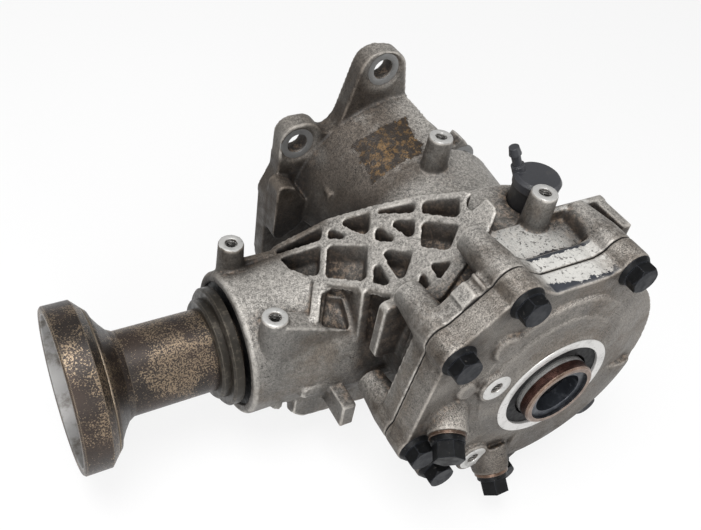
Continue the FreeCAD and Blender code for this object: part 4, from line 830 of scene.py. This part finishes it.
class TRANSFERCASE_OT_output(bpy.types.Operator):
    """Finish the cup, its dust rings and nut, the bearings and the gears"""
    bl_idname = "transfer_case.output"
    bl_label = "Output"

    def execute(self, context):
        dress_nodes(cup_finish("Browned steel", tuple(settings().steel.browned)), "output_cup")
        black = steel_finish("Black dust ring", (0.020, 0.017, 0.013), (0.150, 0.128, 0.100), 0.5, 0.40)
        dress_nodes(black, "small_slinger", "large_slinger")
        bright = steel_finish("Ground steel", (0.42, 0.41, 0.40), (0.62, 0.61, 0.60), 0.95, 0.30)
        dress_nodes(bright, "pinion_nut", "pinion_shim", "crush_sleeve", "dowel_pins")
        for bearing in ("pinion_head", "pinion_tail", "input_front", "input_rear"):
            dress_nodes(bright, bearing + "_cup", bearing + "_cone", bearing + "_rollers")
        gear = steel_finish("Hardened gear steel", (0.20, 0.195, 0.19), (0.45, 0.44, 0.42), 0.9, 0.34)
        dress_nodes(gear, "drive_pinion", "ring_gear")
        return {"FINISHED"}


class TRANSFERCASE_OT_shaft(bpy.types.Operator):
    """Finish the input shaft and what is seen in its end"""
    bl_idname = "transfer_case.shaft"
    bl_label = "Input shaft"

    def execute(self, context):
        dress_nodes(shaft_finish("Turned shaft"), "input_shaft")
        ring = steel_finish("Blue-grey ring", (0.035, 0.039, 0.047), (0.17, 0.18, 0.20), 0.6, 0.36)
        dress_nodes(ring, "shaft_inner_seal")
        return {"FINISHED"}


class TRANSFERCASE_OT_fasteners(bpy.types.Operator):
    """Finish the bolts, plugs and washers"""
    bl_idname = "transfer_case.fasteners"
    bl_label = "Fasteners"

    def execute(self, context):
        # The last colour is the painted sheen on the front faces of the heads.
        black = bolt_finish("Black oxide", tuple(settings().steel.black), (0.011, 0.0125, 0.016))
        dress_nodes(black, "cover_bolts", "fill_plug", "drain_plug", "ring_gear_bolts")
        copper = steel_finish("Worn copper", (0.085, 0.052, 0.036), (0.34, 0.28, 0.23), 0.7, 0.36)
        dress_nodes(copper, "fill_plug_washer", "drain_plug_washer")
        return {"FINISHED"}


class TRANSFERCASE_OT_seals(bpy.types.Operator):
    """Finish the oil seals and the breather"""
    bl_idname = "transfer_case.seals"
    bl_label = "Seals and breather"

    def execute(self, context):
        rubber = rubber_finish("Black rubber")
        dress_nodes(rubber, "cover_oil_seal", "input_oil_seal", "pinion_oil_seal")
        dress_nodes(plastic_finish("Black plastic", (0.008, 0.008, 0.009)), "breather_body")
        dress_nodes(plastic_finish("Dark grey plastic", (0.026, 0.027, 0.031)), "breather_cap")
        return {"FINISHED"}


def camera_turn(values):
    """Rotation of a camera at the azimuth, elevation and roll."""
    a, e, r = values.azimuth, values.elevation, values.roll
    back = Vector((math.sin(a) * math.cos(e), -math.cos(a) * math.cos(e), math.sin(e)))
    right = Vector((math.cos(a), math.sin(a), 0.0))
    up = back.cross(right)
    across = right * math.cos(r) + up * math.sin(r)
    above = up * math.cos(r) - right * math.sin(r)
    return Matrix((across, above, back)).transposed()


def lamp(name, place, aim, size, power):
    bpy.ops.object.light_add(type="AREA", location=place)
    light = bpy.context.active_object
    light.name = name
    light.data.shape = "DISK"
    light.data.size = size
    light.data.energy = power
    light.rotation_euler = (Vector(place) - Vector(aim)).to_track_quat("Z", "Y").to_euler()


def pale_floor():
    """White where it is seen, and a plain pale surface for the light and the shadow."""
    g = Graph("Pale floor")
    rays = g.add("ShaderNodeLightPath")
    seen = g.most(rays.outputs["Is Camera Ray"], rays.outputs["Is Glossy Ray"])
    glow = g.add("ShaderNodeEmission")
    glow.inputs["Color"].default_value = (1.0, 1.0, 1.0, 1.0)
    blend = g.add("ShaderNodeMixShader")
    g.put(blend.inputs["Fac"], g.times(seen, 0.82))
    g.finish((0.80, 0.80, 0.80), 0.9)
    g.tree.links.new(g.shader.outputs[0], blend.inputs[1])
    g.tree.links.new(glow.outputs[0], blend.inputs[2])
    g.tree.links.new(blend.outputs[0], g.tree.nodes["Material Output"].inputs["Surface"])
    return g.material


def light_all_round(scene, strength):
    """A white world that looks white, and lights the object with its own strength."""
    world = scene.world or bpy.data.worlds.new("Studio")
    scene.world = world
    world.use_nodes = True
    tree = world.node_tree
    backdrop = tree.nodes["Background"]
    backdrop.inputs["Color"].default_value = (1.0, 1.0, 1.0, 1.0)
    rays = tree.nodes.new("ShaderNodeLightPath")
    level = tree.nodes.new("ShaderNodeMix")
    level.inputs[2].default_value = strength
    level.inputs[3].default_value = 1.0
    tree.links.new(rays.outputs["Is Camera Ray"], level.inputs[0])
    tree.links.new(level.outputs[0], backdrop.inputs["Strength"])


class TRANSFERCASE_OT_stage(bpy.types.Operator):
    """Set the floor, the lamps and the camera"""
    bl_idname = "transfer_case.stage"
    bl_label = "Stage"

    def execute(self, context):
        values = settings().stage
        scene = context.scene
        scene.view_settings.view_transform = "Standard"
        low, high = Vector(CAD_BOX[0]), Vector(CAD_BOX[1])
        middle = (low + high) / 2
        place = (middle.x, middle.y, low.z - FLOOR_DROP)
        bpy.ops.mesh.primitive_plane_add(size=FLOOR_SIZE, location=place)
        floor = context.active_object
        floor.name = "floor"
        floor.data.materials.append(pale_floor())
        light_all_round(scene, values.world)
        for name, place, size, share in LAMPS:
            lamp(name, middle + Vector(place), middle, size, values.key * share)

        bpy.ops.object.camera_add(location=values.eye)
        camera = context.active_object
        camera.rotation_euler = camera_turn(values).to_euler()
        camera.data.sensor_width = SENSOR_WIDTH
        camera.data.lens = SENSOR_WIDTH * values.focal_pixels / PHOTO_WIDTH
        camera.data.clip_start = 0.01
        scene.camera = camera
        return {"FINISHED"}


class TRANSFERCASE_PT_panel(bpy.types.Panel):
    """The settings of the transfer case, and its operators"""
    bl_label = "Transfer Case"
    bl_idname = "TRANSFERCASE_PT_panel"
    bl_space_type = "VIEW_3D"
    bl_region_type = "UI"
    bl_category = "Transfer Case"

    def draw(self, context):
        values = context.scene.transfer_case
        for group in (values.casting, values.patch, values.steel, values.stage):
            box = self.layout.box()
            for name in group.__annotations__:
                box.prop(group, name)
        for step in STEPS:
            self.layout.operator(step.bl_idname)


STEPS = (TRANSFERCASE_OT_stage, TRANSFERCASE_OT_castings, TRANSFERCASE_OT_machining,
         TRANSFERCASE_OT_output, TRANSFERCASE_OT_shaft, TRANSFERCASE_OT_fasteners, TRANSFERCASE_OT_seals)
CLASSES = (CastingSettings, PatchSettings, SteelSettings, StageSettings, TransferCaseSettings, *STEPS,
           TRANSFERCASE_PT_panel)


def register():
    for item in CLASSES:
        bpy.utils.register_class(item)
    bpy.types.Scene.transfer_case = bpy.props.PointerProperty(
        name="Transfer case", description="Settings of the transfer case", type=TransferCaseSettings)


def unregister():
    del bpy.types.Scene.transfer_case
    for item in reversed(CLASSES):
        bpy.utils.unregister_class(item)


def main():
    register()
    bpy.ops.transfer_case.stage()
    bpy.ops.transfer_case.castings()
    bpy.ops.transfer_case.machining()
    bpy.ops.transfer_case.output()
    bpy.ops.transfer_case.shaft()
    bpy.ops.transfer_case.fasteners()
    bpy.ops.transfer_case.seals()


if __name__ == "__main__":
    main()
